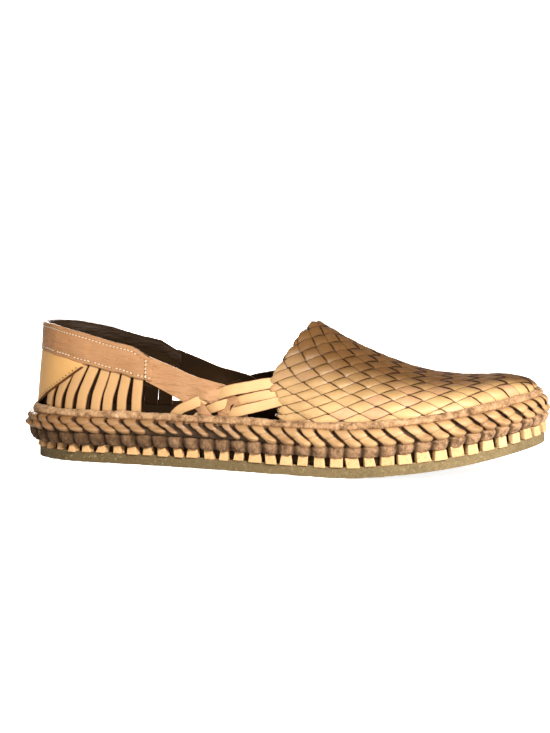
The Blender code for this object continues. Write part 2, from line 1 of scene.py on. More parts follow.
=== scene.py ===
"""A woven leather flat: one right shoe, dressed for the photograph's view.

Metres, +Z up, toe towards +X, the outer (lateral) side towards -Y. The sections follow the shoe as it is
put together: the sole and its laced edge first, then the woven upper, the heel, and the studio.
"""

import math
from collections import namedtuple

import bmesh
import bpy
import numpy as np
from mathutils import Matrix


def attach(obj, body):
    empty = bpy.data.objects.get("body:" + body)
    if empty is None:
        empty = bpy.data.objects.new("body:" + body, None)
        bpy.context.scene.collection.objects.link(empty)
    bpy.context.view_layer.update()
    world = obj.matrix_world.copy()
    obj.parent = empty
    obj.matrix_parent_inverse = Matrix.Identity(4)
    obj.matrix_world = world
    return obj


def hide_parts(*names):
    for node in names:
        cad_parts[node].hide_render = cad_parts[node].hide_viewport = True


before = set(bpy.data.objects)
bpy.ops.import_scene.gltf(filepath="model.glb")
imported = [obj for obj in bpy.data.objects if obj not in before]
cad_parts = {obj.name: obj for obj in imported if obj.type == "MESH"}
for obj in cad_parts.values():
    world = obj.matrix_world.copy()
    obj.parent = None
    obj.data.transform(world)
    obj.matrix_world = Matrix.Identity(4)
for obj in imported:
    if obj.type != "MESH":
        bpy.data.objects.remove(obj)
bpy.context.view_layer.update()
bpy.ops.object.select_all(action="DESELECT")
MM = 0.001
SEED = 7
chance = np.random.default_rng(SEED)


# The crepe outsole is a slab of natural crepe rubber, cut round with a knife after it was glued under the
# shoe, so its edge is grainy and a little ragged, and it curls up with the toe.
CREPE = 6 * MM
LAST_LENGTH = 285 * MM
BALL_WIDTH = 98 * MM
INSTEP_HEIGHT = 55 * MM
TOE_SPRING = 17.5 * MM
HEEL_LEAN = 4 * MM
SPRING_START = 0.62
HEEL_ROUND = 0.13
TOE_ROUND = 0.80
NOSE_ROUND = 0.91
SOLE_SET_BACK = 0.9 * MM
SOLE_TOE_REACH = 5.6 * MM
LACING_OUT = 6.5 * MM
Section = namedtuple("Section", "share centre half crown flank shoulder")
LAST = (
    # centre and half are shares of BALL_WIDTH, crown of INSTEP_HEIGHT; flank and shoulder are roundness
    Section(0.00, 0.000, 0.330, 1.75, 2.6, 2.0),
    Section(0.12, 0.000, 0.330, 1.72, 2.6, 2.0),
    Section(0.25, -0.010, 0.335, 1.65, 2.6, 2.0),
    Section(0.40, -0.030, 0.360, 1.35, 2.4, 1.9),
    Section(0.56, -0.030, 0.430, 0.97, 1.9, 1.55),
    Section(0.68, -0.010, 0.480, 0.64, 1.8, 1.6),
    Section(0.78, 0.010, 0.470, 0.40, 1.8, 1.8),
    Section(0.88, 0.040, 0.420, 0.26, 1.9, 2.0),
    Section(0.96, 0.065, 0.360, 0.205, 2.0, 2.2),
    Section(1.00, 0.075, 0.330, 0.19, 2.0, 2.2),
)
CREPE_LAYERS = (1.2 * MM, 1.3 * MM, 1.3 * MM, 1.2 * MM, 1.0 * MM)
CREPE_RAGGED = 0.28 * MM
RECESS_DEEP = 3.4 * MM
RECESS_TALL = 5.7 * MM
CREPE_HEEL = (0.10, 0.068, 0.026)
CREPE_TOE = (0.29, 0.22, 0.115)
CREPE_BLOTCH = (0.16, 0.12, 0.06)
CREPE_SPECKLE = (0.6, 0.5, 0.3)
# Near-black browns, painted shade for the recess, the wall behind the stitches and the stitch holes:
RECESS_SHADE = (0.05, 0.03, 0.016)
RECESS_SHADE_MOTTLE = (0.10, 0.06, 0.03)


def smooth_curve(marks, values, place):
    """One smooth curve through values at the marks, read at a place."""
    slopes = np.gradient(values, marks)
    row = np.clip(np.searchsorted(marks, place, side="right") - 1, 0, len(marks) - 2)
    step = marks[row + 1] - marks[row]
    u = (place - marks[row]) / step
    start = (2 * u**3 - 3 * u**2 + 1) * values[row] + (u**3 - 2 * u**2 + u) * step * slopes[row]
    end = (3 * u**2 - 2 * u**3) * values[row + 1] + (u**3 - u**2) * step * slopes[row + 1]
    return start + end


def along(name, share):
    """A column of the last's table."""
    shares = np.array([row.share for row in LAST])
    values = np.array([getattr(row, name) for row in LAST])
    return smooth_curve(shares, values, np.clip(share, 0, 1))


def spring(share):
    return TOE_SPRING * np.clip((share - SPRING_START) / (1 - SPRING_START), 0, 1) ** 1.6


def half_width(share, out):
    heel = np.clip(1 - share / HEEL_ROUND, 0, 1)
    toe = np.clip((share - TOE_ROUND) / (1 - TOE_ROUND), 0, 1)
    return (along("half", share) * BALL_WIDTH + out) * np.sqrt(1 - heel**2) * np.sqrt(1 - toe**2.3)


EDGE_SHARES = (1 - np.cos(np.linspace(0, math.pi, 301))) / 2
middle_line = along("centre", EDGE_SHARES) * BALL_WIDTH
widest = half_width(EDGE_SHARES, LACING_OUT)
MIDDLE = (LAST_LENGTH / 2, (np.min(middle_line - widest) + np.max(middle_line + widest)) / 2)


def rim(share, side, out, height):
    """A point out from the last's outline: side is -1 on the outer side of the foot and 1 on the inner."""
    x = share * (LAST_LENGTH + 2 * out) - out - MIDDLE[0]
    y = along("centre", share) * BALL_WIDTH + side * half_width(share, out) - MIDDLE[1]
    return np.stack([x, y, height + spring(share)], -1)


def sole_out(share):
    return SOLE_TOE_REACH * share**1.2 - SOLE_SET_BACK


def points_of(piece):
    flat = np.empty(len(piece.data.vertices) * 3)
    piece.data.vertices.foreach_get("co", flat)
    return flat.reshape(-1, 3)


def set_points(piece, points):
    piece.data.vertices.foreach_set("co", np.ascontiguousarray(points, dtype=float).ravel())
    piece.data.update()


def alone(piece):
    bpy.ops.object.select_all(action="DESELECT")
    piece.select_set(True)
    bpy.context.view_layer.objects.active = piece


def flat_grid(name, long_cuts, cross_cuts):
    """A sheet with its corners at 0 and 1, ready to be laid in place."""
    bpy.ops.object.select_all(action="DESELECT")
    bpy.ops.mesh.primitive_grid_add(x_subdivisions=long_cuts, y_subdivisions=cross_cuts, size=1)
    piece = bpy.context.object
    piece.name = name
    piece.data.name = name
    points = points_of(piece) + 0.5
    set_points(piece, points)
    return piece, points[:, 0], points[:, 1]


def merge(piece, distance=0.02 * MM):
    alone(piece)
    bpy.ops.object.mode_set(mode="EDIT")
    bpy.ops.mesh.select_all(action="SELECT")
    bpy.ops.mesh.remove_doubles(threshold=distance)
    bpy.ops.mesh.normals_make_consistent(inside=False)
    bpy.ops.object.mode_set(mode="OBJECT")


def apply_modifier(piece, kind, **values):
    alone(piece)
    modifier = piece.modifiers.new(kind.title(), kind)
    for key, value in values.items():
        setattr(modifier, key, value)
    bpy.ops.object.modifier_apply(modifier=modifier.name)


def smooth(piece, degrees=40):
    alone(piece)
    bpy.ops.object.shade_smooth_by_angle(angle=math.radians(degrees))


def join(pieces, name):
    bpy.ops.object.select_all(action="DESELECT")
    for piece in pieces:
        piece.select_set(True)
    bpy.context.view_layer.objects.active = pieces[0]
    if len(pieces) > 1:
        bpy.ops.object.join()
    whole = bpy.context.object
    whole.name = name
    whole.data.name = name
    return whole


def sole_layer(name, foot, layers, out):
    """A flat layer of the sole, as thick as its layers together."""
    piece, u, v = flat_grid(name, 180, 12)
    share = (1 - np.cos(np.pi * u)) / 2
    side = 2 * v - 1
    reach = rim(share, 1, out(share), foot)
    middle = rim(share, 0, out(share), foot)
    set_points(piece, middle + (reach - middle) * side[:, None])
    merge(piece)
    alone(piece)
    bpy.ops.object.mode_set(mode="EDIT")
    bpy.ops.mesh.select_all(action="SELECT")
    for layer in layers:
        bpy.ops.mesh.extrude_region_move(TRANSFORM_OT_translate={"value": (0, 0, layer)})
    bpy.ops.mesh.select_all(action="SELECT")
    bpy.ops.mesh.normals_make_consistent(inside=False)
    bpy.ops.object.mode_set(mode="OBJECT")
    return piece


crepe = sole_layer("crepe_sole", 0, CREPE_LAYERS, sole_out)
points = points_of(crepe)
x = points[:, 0] / MM
ragged = np.sin(x / 3.1) * np.sin(x / 1.3 + points[:, 1] / (2 * MM))
nicks = np.clip(np.sin(x / 13 + 1) * np.sin(x / 7.9) - 0.72, 0, 1)
foot_edge = np.abs(points[:, 2] - spring((points[:, 0] + MIDDLE[0]) / LAST_LENGTH)) < 0.2 * MM
points[:, 2] += CREPE_RAGGED * np.clip(ragged + 4.8 * nicks, -0.1, 2) * foot_edge
set_points(crepe, points)
core = sole_layer(
    "recess_core", CREPE + 0.1 * MM, (RECESS_TALL,), lambda share: sole_out(share) - RECESS_DEEP
)
smooth(crepe, 50)
smooth(core)


def new_material(name, roughness=0.5):
    material = bpy.data.materials.new(name)
    material.use_nodes = True
    shader = material.node_tree.nodes["Principled BSDF"]
    shader.inputs["Roughness"].default_value = roughness
    return material, material.node_tree, shader


def feed(tree, socket, value):
    """Gives a socket a number or a colour, or links it to what another node gives out."""
    if isinstance(value, (int, float)):
        socket.default_value = value
    elif isinstance(value, tuple):
        socket.default_value = (*value, 1)
    else:
        tree.links.new(value, socket)


def dress(tree, item, values):
    """Feeds the inputs of a node by their names."""
    for key, value in values.items():
        feed(tree, item.inputs[key], value)


def node(tree, kind, **values):
    item = tree.nodes.new(kind)
    for key, value in values.items():
        if key in item.bl_rna.properties:
            setattr(item, key, value)
        else:
            item.inputs[key].default_value = value
    return item


def colour_ramp(tree, source, stops):
    ramp = tree.nodes.new("ShaderNodeValToRGB")
    while len(ramp.color_ramp.elements) < len(stops):
        ramp.color_ramp.elements.new(0.5)
    for element, (place, colour) in zip(ramp.color_ramp.elements, stops):
        element.position = place
        element.color = (*colour, 1)
    tree.links.new(source, ramp.inputs["Fac"])
    return ramp.outputs["Color"]


def mixed(tree, factor, first, second, blend="MIX"):
    mix = node(tree, "ShaderNodeMix", data_type="RGBA", blend_type=blend)
    for place, value in (("Factor", factor), ("A", first), ("B", second)):
        sockets = [s for s in mix.inputs if s.name == place and (place == "Factor" or s.type == "RGBA")]
        feed(tree, sockets[0], value)
    return [s for s in mix.outputs if s.type == "RGBA"][0]


def noise(tree, scale, detail=4, roughness=0.6, stretch=None):
    where = node(tree, "ShaderNodeTexCoord").outputs["Object"]
    if stretch:
        mapping = node(tree, "ShaderNodeMapping")
        mapping.inputs["Scale"].default_value = stretch
        tree.links.new(where, mapping.inputs["Vector"])
        where = mapping.outputs["Vector"]
    texture = node(tree, "ShaderNodeTexNoise", Scale=scale, Detail=detail, Roughness=roughness)
    tree.links.new(where, texture.inputs["Vector"])
    return texture.outputs["Fac"]


def attribute(tree, name):
    return node(tree, "ShaderNodeAttribute", attribute_name=name).outputs["Fac"]


def maths(tree, operation, first, second):
    item = node(tree, "ShaderNodeMath", operation=operation)
    for socket, value in zip(item.inputs, (first, second)):
        feed(tree, socket, value)
    return item.outputs[0]


def bumped(tree, height, distance, under=None):
    bump = node(tree, "ShaderNodeBump", Strength=1.0, Distance=distance)
    tree.links.new(height, bump.inputs["Height"])
    if under is not None:
        tree.links.new(under, bump.inputs["Normal"])
    return bump.outputs["Normal"]


def toe_share(tree):
    """How far along the shoe a point lies: 0 at the heel and 1 at the toe."""
    place = node(tree, "ShaderNodeTexCoord").outputs["Object"]
    split = node(tree, "ShaderNodeSeparateXYZ")
    tree.links.new(place, split.inputs[0])
    spread = node(tree, "ShaderNodeMapRange")
    dress(tree, spread, {"Value": split.outputs["X"], "From Min": -0.14, "From Max": 0.14})
    return spread.outputs["Result"]


def grey_ramp(tree, source, low, high, most):
    """Nothing below low, and up to most above high."""
    return colour_ramp(tree, source, [(low, (0, 0, 0)), (high, (most, most, most))])


def darkened(tree, share, body, source, low, dark, high):
    """The colour, multiplied by a dark tint where the source is low."""
    return mixed(tree, share, body, colour_ramp(tree, source, [(low, dark), (high, (1, 1, 1))]), "MULTIPLY")


crepe_rubber, tree, shader = new_material("crepe_rubber", 0.95)
grain = noise(tree, 900, 6, 0.75)
blotch = noise(tree, 70, 5, 0.6)
# Darker towards the heel: partly the rubber's own colour, partly painted shade where the key light falls off
# towards the heel.
body = mixed(tree, toe_share(tree), CREPE_HEEL, CREPE_TOE)
body = mixed(tree, grey_ramp(tree, blotch, 0.45, 0.75, 0.8), body, CREPE_BLOTCH)
body = mixed(tree, grey_ramp(tree, noise(tree, 420, 5, 0.7), 0.56, 0.7, 0.3), body, CREPE_SPECKLE)
body = darkened(tree, 0.6, body, grain, 0.32, (0.4, 0.35, 0.26), 0.6)
relief = bumped(tree, grain, 0.5 * MM, bumped(tree, blotch, 0.8 * MM))
dress(tree, shader, {"Base Color": body, "Normal": relief})
crepe.data.materials.append(crepe_rubber)

# Painted shade: a near-black brown, lightly mottled, that fills the recess under the rand; the wall behind
# the stitches and the stitch holes wear it too.
painted_shade_brown, tree, shader = new_material("painted_shade_brown", 0.95)
body = colour_ramp(tree, noise(tree, 300), [(0.3, RECESS_SHADE), (0.8, RECESS_SHADE_MOTTLE)])
dress(tree, shader, {"Base Color": body})
core.data.materials.append(painted_shade_brown)

for piece in (crepe, core):
    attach(piece, "root")
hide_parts("outsole")


# The ends of the lacing straps show under the edge as a row of light leather tabs: each is drawn down
# through the suede and glued flat on the recessed midsole, a little askew, just over the crepe.
MIDSOLE = 5.9 * MM
LACE_PITCH = 9.3 * MM
TAB_SHARES = (0.0, 0.12, 0.35, 0.6, 0.85, 1.0)
TAB_WIDE = (4.0 * MM, 4.5 * MM, 6.4 * MM, 7.2 * MM, 7.0 * MM, 6.4 * MM)
TAB_TALL = (0.78, 0.80, 0.95, 1.08, 1.0, 0.95)
TAB_DEEP = 3.2 * MM
TAB_TAN = (0.74, 0.51, 0.27)
TAB_BROWN = (0.50, 0.29, 0.13)
TAB_STAIN = (0.55, 0.34, 0.15)
TAB_ROUND = 0.06

ring_turns = np.concatenate([EDGE_SHARES, 2 - EDGE_SHARES[-2::-1]])


def turn_place(turn, out, height):
    """A point of the edge by its turn: 0 to 1 along the outer side, 1 to 2 back along the inner side."""
    turn = np.mod(turn, 2)
    share = np.where(turn < 1, turn, 2 - turn)
    side = np.where(turn < 1, -1, 1)
    return rim(share, side, out, height)


ring_lengths = np.linalg.norm(np.diff(turn_place(ring_turns, 5 * MM, 0), axis=0), axis=1)
ring_lengths = np.concatenate([[0], np.cumsum(ring_lengths)])
ROUND = ring_lengths[-1]
LACES = 2 * round(ROUND / 2 / LACE_PITCH)
LACE_STEP = ROUND / LACES


def edge_place(length, out, height):
    """A point of the edge by its length round the shoe, from the heel along the outer side."""
    turn = np.interp(np.mod(length, ROUND), ring_lengths, ring_turns)
    return turn_place(turn, out, height)


def edge_share(length):
    turn = np.interp(np.mod(length, ROUND), ring_lengths, ring_turns)
    return np.where(turn < 1, turn, 2 - turn)


def mark(piece, name, values):
    layer = piece.data.attributes.get(name) or piece.data.attributes.new(name, "FLOAT", "POINT")
    count = len(piece.data.vertices)
    layer.data.foreach_set("value", np.broadcast_to(np.asarray(values, dtype=float), (count,)).copy())


def twin(model):
    """A copy with its own mesh."""
    piece = model.copy()
    piece.data = model.data.copy()
    bpy.context.collection.objects.link(piece)
    return piece


bpy.ops.object.select_all(action="DESELECT")
bpy.ops.mesh.primitive_cube_add(size=1)
tab = bpy.context.object
bpy.ops.object.mode_set(mode="EDIT")
bpy.ops.mesh.select_all(action="SELECT")
bpy.ops.mesh.subdivide(number_cuts=2)
bpy.ops.mesh.select_all(action="DESELECT")
bpy.ops.object.mode_set(mode="OBJECT")
for edge in tab.data.edges:
    ends = [tab.data.vertices[number].co for number in edge.vertices]
    edge.select = all(sum(abs(abs(value) - 0.5) < 0.01 for value in end) >= 2 for end in ends)
bpy.ops.object.mode_set(mode="EDIT")
bpy.ops.mesh.bevel(offset=TAB_ROUND, segments=2, affect="EDGES")
bpy.ops.object.mode_set(mode="OBJECT")
tab_points = points_of(tab)
tabs = []
for number in range(LACES):
    piece = twin(tab)
    middle = (number + 0.5) * LACE_STEP
    wide = np.interp(edge_share(middle), TAB_SHARES, TAB_WIDE) * chance.uniform(0.74, 1.02)
    tall = MIDSOLE * chance.uniform(0.86, 1.0) * np.interp(edge_share(middle), TAB_SHARES, TAB_TALL)
    lean = chance.uniform(-1.3, 0.9) * MM
    taper = 1 - chance.uniform(0.0, 0.3) * tab_points[:, 2]
    length = middle + tab_points[:, 0] * wide * taper
    length = length + lean * tab_points[:, 2] + chance.uniform(-0.4, 0.4) * MM
    share = edge_share(length)
    foot_out = chance.uniform(0.2, 1.3) * MM * (0.5 - tab_points[:, 2])
    out = sole_out(share) - 1.2 * MM + tab_points[:, 1] * TAB_DEEP + foot_out
    height = CREPE - 0.35 * MM + 0.5 * tall + tab_points[:, 2] * tall + chance.uniform(-0.3, 0.5) * MM
    set_points(piece, edge_place(length, out, height))
    mark(piece, "tone", chance.uniform(0, 1))
    tabs.append(piece)
bpy.data.objects.remove(tab)
strap_ends = join(tabs, "strap_ends")
merge(strap_ends, 0.001 * MM)
smooth(strap_ends, 60)

tab_leather, tree, shader = new_material("tab_leather", 0.8)
grain = noise(tree, 700, 5, 0.7)
# Browner towards the heel: partly the leather's own colour, partly painted shade where the key light falls
# off.
body = mixed(tree, toe_share(tree), TAB_BROWN, TAB_TAN)
body = mixed(tree, maths(tree, "MULTIPLY", attribute(tree, "tone"), 0.5), body, TAB_STAIN)
body = darkened(tree, 0.5, body, grain, 0.3, (0.5, 0.38, 0.26), 0.55)
dress(tree, shader, {"Base Color": body, "Normal": bumped(tree, grain, 0.3 * MM)})
strap_ends.data.materials.append(tab_leather)
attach(strap_ends, "root")
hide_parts("midsole")
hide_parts("midsole")


# The insole is a plain leather footbed, cut to the inside of the upper and laid on the midsole. It is the
# frame's own solid, painted a near-black brown that stands for the shade inside the shoe.
INSOLE_DEEP_SHADE = (0.03, 0.018, 0.01)
INSOLE_SHADE_BROWN = (0.07, 0.042, 0.022)

insole_leather, tree, shader = new_material("insole_leather", 0.6)
body = colour_ramp(tree, noise(tree, 30), [(0.3, INSOLE_DEEP_SHADE), (0.7, INSOLE_SHADE_BROWN)])
dress(tree, shader, {"Base Color": body, "Normal": bumped(tree, noise(tree, 1400), 0.1 * MM)})
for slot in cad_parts["insole"].material_slots:
    slot.material = insole_leather


# The rand is a band of thick brown suede round the edge, pulled in under each lacing stitch so that it
# swells between them, and a rolled welt of the same suede covers the foot of the upper.
RAND = 5.3 * MM
LACED_EDGE = 8.3 * MM
WELT_BEAD = 4 * MM
WELT_TOP = CREPE + MIDSOLE + RAND + LACED_EDGE + WELT_BEAD
GAP = 0.3 * MM
PLAIN_FACE = -1.2 * MM
SUEDE_HEEL = (0.085, 0.048, 0.024)
SUEDE_TOE = (0.58, 0.37, 0.22)
SUEDE_DARK = (0.07, 0.038, 0.02)
SUEDE_LIGHT = (0.42, 0.29, 0.17)
WELT_HEEL = (0.48, 0.30, 0.165)
WELT_TOE = (0.58, 0.36, 0.20)
WELT_DARK = (0.12, 0.065, 0.032)
WELT_LIGHT = (0.9, 0.68, 0.43)
SUEDE_SHEEN = (0.9, 0.75, 0.6)
VALLEY_SHADE_BROWN = (0.045, 0.024, 0.012)
INSIDE_SHADE_BROWN = (0.03, 0.017, 0.008)
RING_CUTS = 1008


def edge_ring(name, outline, count=720, rough=0.0, inner_rows=0):
    """A ring round the shoe with a closed outline: rows of out and height, worked out for each length. The
    first inner_rows are out of sight: they stay smooth and are marked inside, which the suede paints a
    near-black brown as shade."""
    around = len(outline(np.zeros(1), np.zeros(1)))
    piece, u, v = flat_grid(name, count, around)
    lengths = u * ROUND
    number = np.round(v * around).astype(int) % around
    rows = outline(lengths, edge_share(lengths))
    by_row = np.lexsort((u, np.round(v * around)))
    out, height = [np.choose(number, [np.broadcast_to(row[k], u.shape) for row in rows]) for k in (0, 1)]
    for values in (out, height):
        values += rough * chance.uniform(-1, 1, len(u)) * (number >= inner_rows)
        sheet = values[by_row].reshape(around + 1, count + 1)
        sheet[-1] = sheet[0]
        sheet[:, -1] = sheet[:, 0]
        values[by_row] = sheet.ravel()
    set_points(piece, edge_place(lengths, out, height))
    # The valley mark is where the suede is pulled in under each stitch; the suede darkens there as painted
    # shade.
    mark(piece, "valley", 1 - np.abs(np.sin(np.pi * lengths / LACE_STEP)))
    mark(piece, "inside", number < inner_rows)
    merge(piece)
    smooth(piece, 70)
    return piece


def suede_outline(lengths, share):
    foot = CREPE + MIDSOLE + GAP - 1.2 * MM - 0.9 * MM * np.clip((0.3 - share) / 0.2, 0, 1)
    shelf = CREPE + MIDSOLE + RAND
    phase = np.abs(np.sin(np.pi * lengths / LACE_STEP))
    pillow = 1.25 * phase**0.7
    low = 1.1 * MM + 2.2 * MM * share
    fray = 0.3 * MM * np.sin(lengths / (1.3 * MM)) * np.sin(lengths / (0.7 * MM) + 1)
    wobble = 0.3 * MM * np.sin(lengths / (7 * MM)) * np.sin(lengths / (23 * MM)) + fray
    return (
        (low - 5 * MM, foot + 1.2 * MM),
        (low - 1.2 * MM + 0.6 * MM * pillow, foot + 0.6 * MM - 0.7 * MM * pillow + wobble),
        (low - 0.8 * MM + 1.9 * MM * pillow, foot + 0.5 * MM - 0.5 * MM * pillow + wobble),
        (low - 0.3 * MM + 2.3 * MM * pillow, foot + 1.5 * MM),
        (low + 0.4 * MM + 2.3 * MM * pillow, foot + 2.8 * MM),
        (low + 1.0 * MM + 2.0 * MM * pillow, foot + 4.2 * MM),
        (2.6 * MM + 1.8 * MM * pillow, shelf - 0.6 * MM),
        (2.4 * MM, shelf + 0.5 * MM),
        (low - 5 * MM, shelf + 0.5 * MM),
    )


def bead_outline(lengths, share):
    roof = CREPE + MIDSOLE + RAND + LACED_EDGE
    inner = PLAIN_FACE + GAP
    wave = 0.25 * MM * np.sin(lengths / (11 * MM)) + 0.18 * MM * np.sin(lengths / (4.1 * MM))
    fray = 0.12 * MM * np.sin(lengths / (0.9 * MM)) * np.sin(lengths / (2.3 * MM))
    lift = 0.5 * MM * np.clip((0.2 - share) / 0.2, 0, 1) + wave + fray
    return (
        (inner - 0.2 * MM, roof - 6 * MM),
        (inner - 0.2 * MM, roof + 0.6 * WELT_BEAD),
        (inner + 0.3 * MM, WELT_TOP - 0.3 * MM + lift),
        (inner + 1.1 * MM, WELT_TOP + 0.1 * MM + lift),
        (inner + 2.1 * MM, WELT_TOP - 0.1 * MM + lift),
        (inner + 3.1 * MM, WELT_TOP - 0.8 * MM + wave),
        (inner + 3.8 * MM, WELT_TOP - 1.8 * MM + wave),
        (inner + 3.9 * MM, WELT_TOP - 2.8 * MM),
        (inner + 3.4 * MM, WELT_TOP - 3.7 * MM - 0.4 * wave),
        (inner + 2.4 * MM, WELT_TOP - 4.2 * MM),
        (inner + 1.2 * MM, roof - 6 * MM),
    )


suede_band = edge_ring("suede_band", suede_outline, RING_CUTS, 0.09 * MM)
welt_bead = edge_ring("welt_bead", bead_outline, RING_CUTS, 0.11 * MM, 3)
mark(welt_bead, "valley", 0.0)


def smooth_step(tree, source, low, high):
    spread = node(tree, "ShaderNodeMapRange", interpolation_type="SMOOTHSTEP")
    dress(tree, spread, {"Value": source, "From Min": low, "From Max": high})
    return spread.outputs["Result"]


def suede(name, heel, toe, dark, light):
    material, tree, shader = new_material(name, 1.0)
    nap = noise(tree, 900, 5, 0.8, (1, 1, 0.45))
    mottle = noise(tree, 190, 6, 0.7, (1, 1, 0.7))
    # Darker towards the heel: partly the suede's own colour, partly painted shade where the key light falls
    # off.
    body = mixed(tree, toe_share(tree), heel, toe)
    body = mixed(tree, grey_ramp(tree, mottle, 0.33, 0.52, 1), dark, body)
    body = mixed(tree, grey_ramp(tree, mottle, 0.55, 0.75, 0.75), body, light)
    body = darkened(tree, 0.7, body, nap, 0.34, (0.34, 0.28, 0.24), 0.6)
    dress(tree, shader, {"Specular IOR Level": 0.1, "Sheen Weight": 0.12, "Sheen Roughness": 0.5})
    dress(tree, shader, {"Sheen Tint": SUEDE_SHEEN})
    # Painted shade in the valleys under each stitch, towards a deep brown.
    valley_shade = smooth_step(tree, attribute(tree, "valley"), 0.25, 0.95)
    body = mixed(tree, maths(tree, "MULTIPLY", valley_shade, 0.85), body, VALLEY_SHADE_BROWN)
    # Painted shade: the welt's hidden inner rows are coloured near black.
    body = mixed(tree, attribute(tree, "inside"), body, INSIDE_SHADE_BROWN)
    relief = bumped(tree, nap, 0.5 * MM, bumped(tree, mottle, 1.2 * MM))
    dress(tree, shader, {"Base Color": body, "Normal": relief})
    return material


suede_band.data.materials.append(suede("band_suede", SUEDE_HEEL, SUEDE_TOE, SUEDE_DARK, SUEDE_LIGHT))
welt_bead.data.materials.append(suede("welt_suede", WELT_HEEL, WELT_TOE, WELT_DARK, WELT_LIGHT))
for piece in (suede_band, welt_bead):
    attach(piece, "root")
    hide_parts("rand")


# The laced edge is one flat thong of tan leather, whipped over the edge all round: each stitch comes over
# the top, runs down aslant and disappears in a hole under a rounded bulge.
STITCH_THICK = 1.2 * MM
STITCH_START = -7.6 * MM
STITCH_TAN = (0.51, 0.32, 0.155)
STITCH_ROSE = (0.5, 0.32, 0.19)
STITCH_SHADE = (0.22, 0.115, 0.046)
STITCH_EDGE_SHADE = (0.09, 0.038, 0.014)
TWISTED = (0.30, 0.44)
STITCH_SHARES = (0.0, 0.2, 0.3, 0.44, 0.55, 1.0)
STITCH_SHORT = (0.86, 0.88, 0.72, 0.76, 0.98, 1.0)
Turn = namedtuple("Turn", "down out height half slant")
STITCH = (
    # down runs from the top of a stitch to its foot; the others are mm: out, over the shelf, half wide, along
    Turn(0.00, 1.4, 8.3, 3.90, -0.3),
    Turn(0.08, 3.0, 8.7, 4.00, 0.0),
    Turn(0.20, 4.6, 7.7, 3.95, 0.6),
    Turn(0.32, 5.5, 6.4, 3.80, 1.7),
    Turn(0.44, 5.9, 5.1, 3.70, 3.0),
    Turn(0.55, 6.1, 4.0, 3.75, 4.4),
    Turn(0.66, 6.5, 2.8, 4.05, 6.0),
    Turn(0.76, 6.8, 1.7, 4.20, 7.4),
    Turn(0.85, 6.7, 0.6, 3.80, 8.2),
    Turn(0.93, 5.9, -0.6, 2.90, 8.5),
    Turn(0.98, 5.0, -1.4, 1.90, 8.5),
    Turn(1.00, 4.0, -1.6, 1.00, 8.4),
)


def turn_curve(name, down):
    return np.interp(down, [row.down for row in STITCH], [getattr(row, name) for row in STITCH])


stitch, down, across = flat_grid("stitch", 18, 8)
down = down**0.9
across = 2 * across - 1
shelf = CREPE + MIDSOLE + RAND
stitches = []
for number in range(LACES):
    piece = twin(stitch)
    start = (number + 0.5) * LACE_STEP + STITCH_START + chance.uniform(-0.6, 0.6) * MM
    twisted = number < LACES / 2 and TWISTED[0] < edge_share(start + 5 * MM) < TWISTED[1]
    half = turn_curve("half", down) * MM * chance.uniform(0.95, 1.06) * (0.62 if twisted else 1.0)
    pull = chance.uniform(0.86, 1.1)
    length = start + pull * turn_curve("slant", down) * MM + half * across
    share = edge_share(length)
    bulge = np.exp(-(((down - 0.78) / 0.17) ** 2))
    crown = (0.7 + 1.3 * bulge) * MM * (1 - across**2) - 1.0 * MM
    crease = 1 / (1 + np.exp((down - 0.48 + 0.09 * across) / 0.018))
    crown = crown + chance.uniform(0.5, 1.5) * MM * (crease - 0.35) * np.clip(down / 0.15, 0, 1)
    out = turn_curve("out", down) * MM + crown
    short = np.interp(share, STITCH_SHARES, STITCH_SHORT)
    height = turn_curve("height", down) * np.where(down > 0.8, chance.uniform(0.7, 1.25), 1)
    height = shelf + (STITCH[0].height - (STITCH[0].height - height) * short) * MM
    set_points(piece, edge_place(length, out, height))
    mark(piece, "tone", 0.5 + 0.5 * twisted + chance.uniform(-0.5, 0.3) * (not twisted))
    # Painted shade along the sides of each stitch and in the crease across it, from the edge mark.
    mark(piece, "edge", np.maximum(np.abs(across), np.exp(-(((down - 0.51 + 0.09 * across) / 0.05) ** 2))))
    mark(piece, "crest", 0.0)
    stitches.append(piece)
bpy.data.objects.remove(stitch)
laced_edge = join(stitches, "laced_edge")
apply_modifier(laced_edge, "SOLIDIFY", thickness=STITCH_THICK, offset=-1)
smooth(laced_edge, 60)

# Behind the stitches the cut edges of the suede and the upper are one wall: a plain ring round the shoe,
# painted the near-black brown of the recess of the sole as the shade that fills the gaps between the
# stitches.
BACKING = ((0.4, 0.2), (3.6, 0.2), (4.4, 2.0), (4.0, 5.0), (2.4, 7.2), (0.4, 7.4))
backing = edge_ring(
    "lacing_backing", lambda lengths, share: [(out * MM, shelf + up * MM) for out, up in BACKING]
)
backing.data.materials.append(painted_shade_brown)
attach(backing, "root")


# The shade colour serves the mottling and stains, and also the painted shade at the heel and on the top; the
# edge shade is painted shade along edges, crossings and creases.
FINISH_COLOURS = ("Colour", "Rose", "Shade", "Edge shade")
FINISH_VALUES = ("Edge start", "Mottle", "Grain", "Top shade")
HIDE_GLOSS = 0.12
HIDE_COAT = 0.35


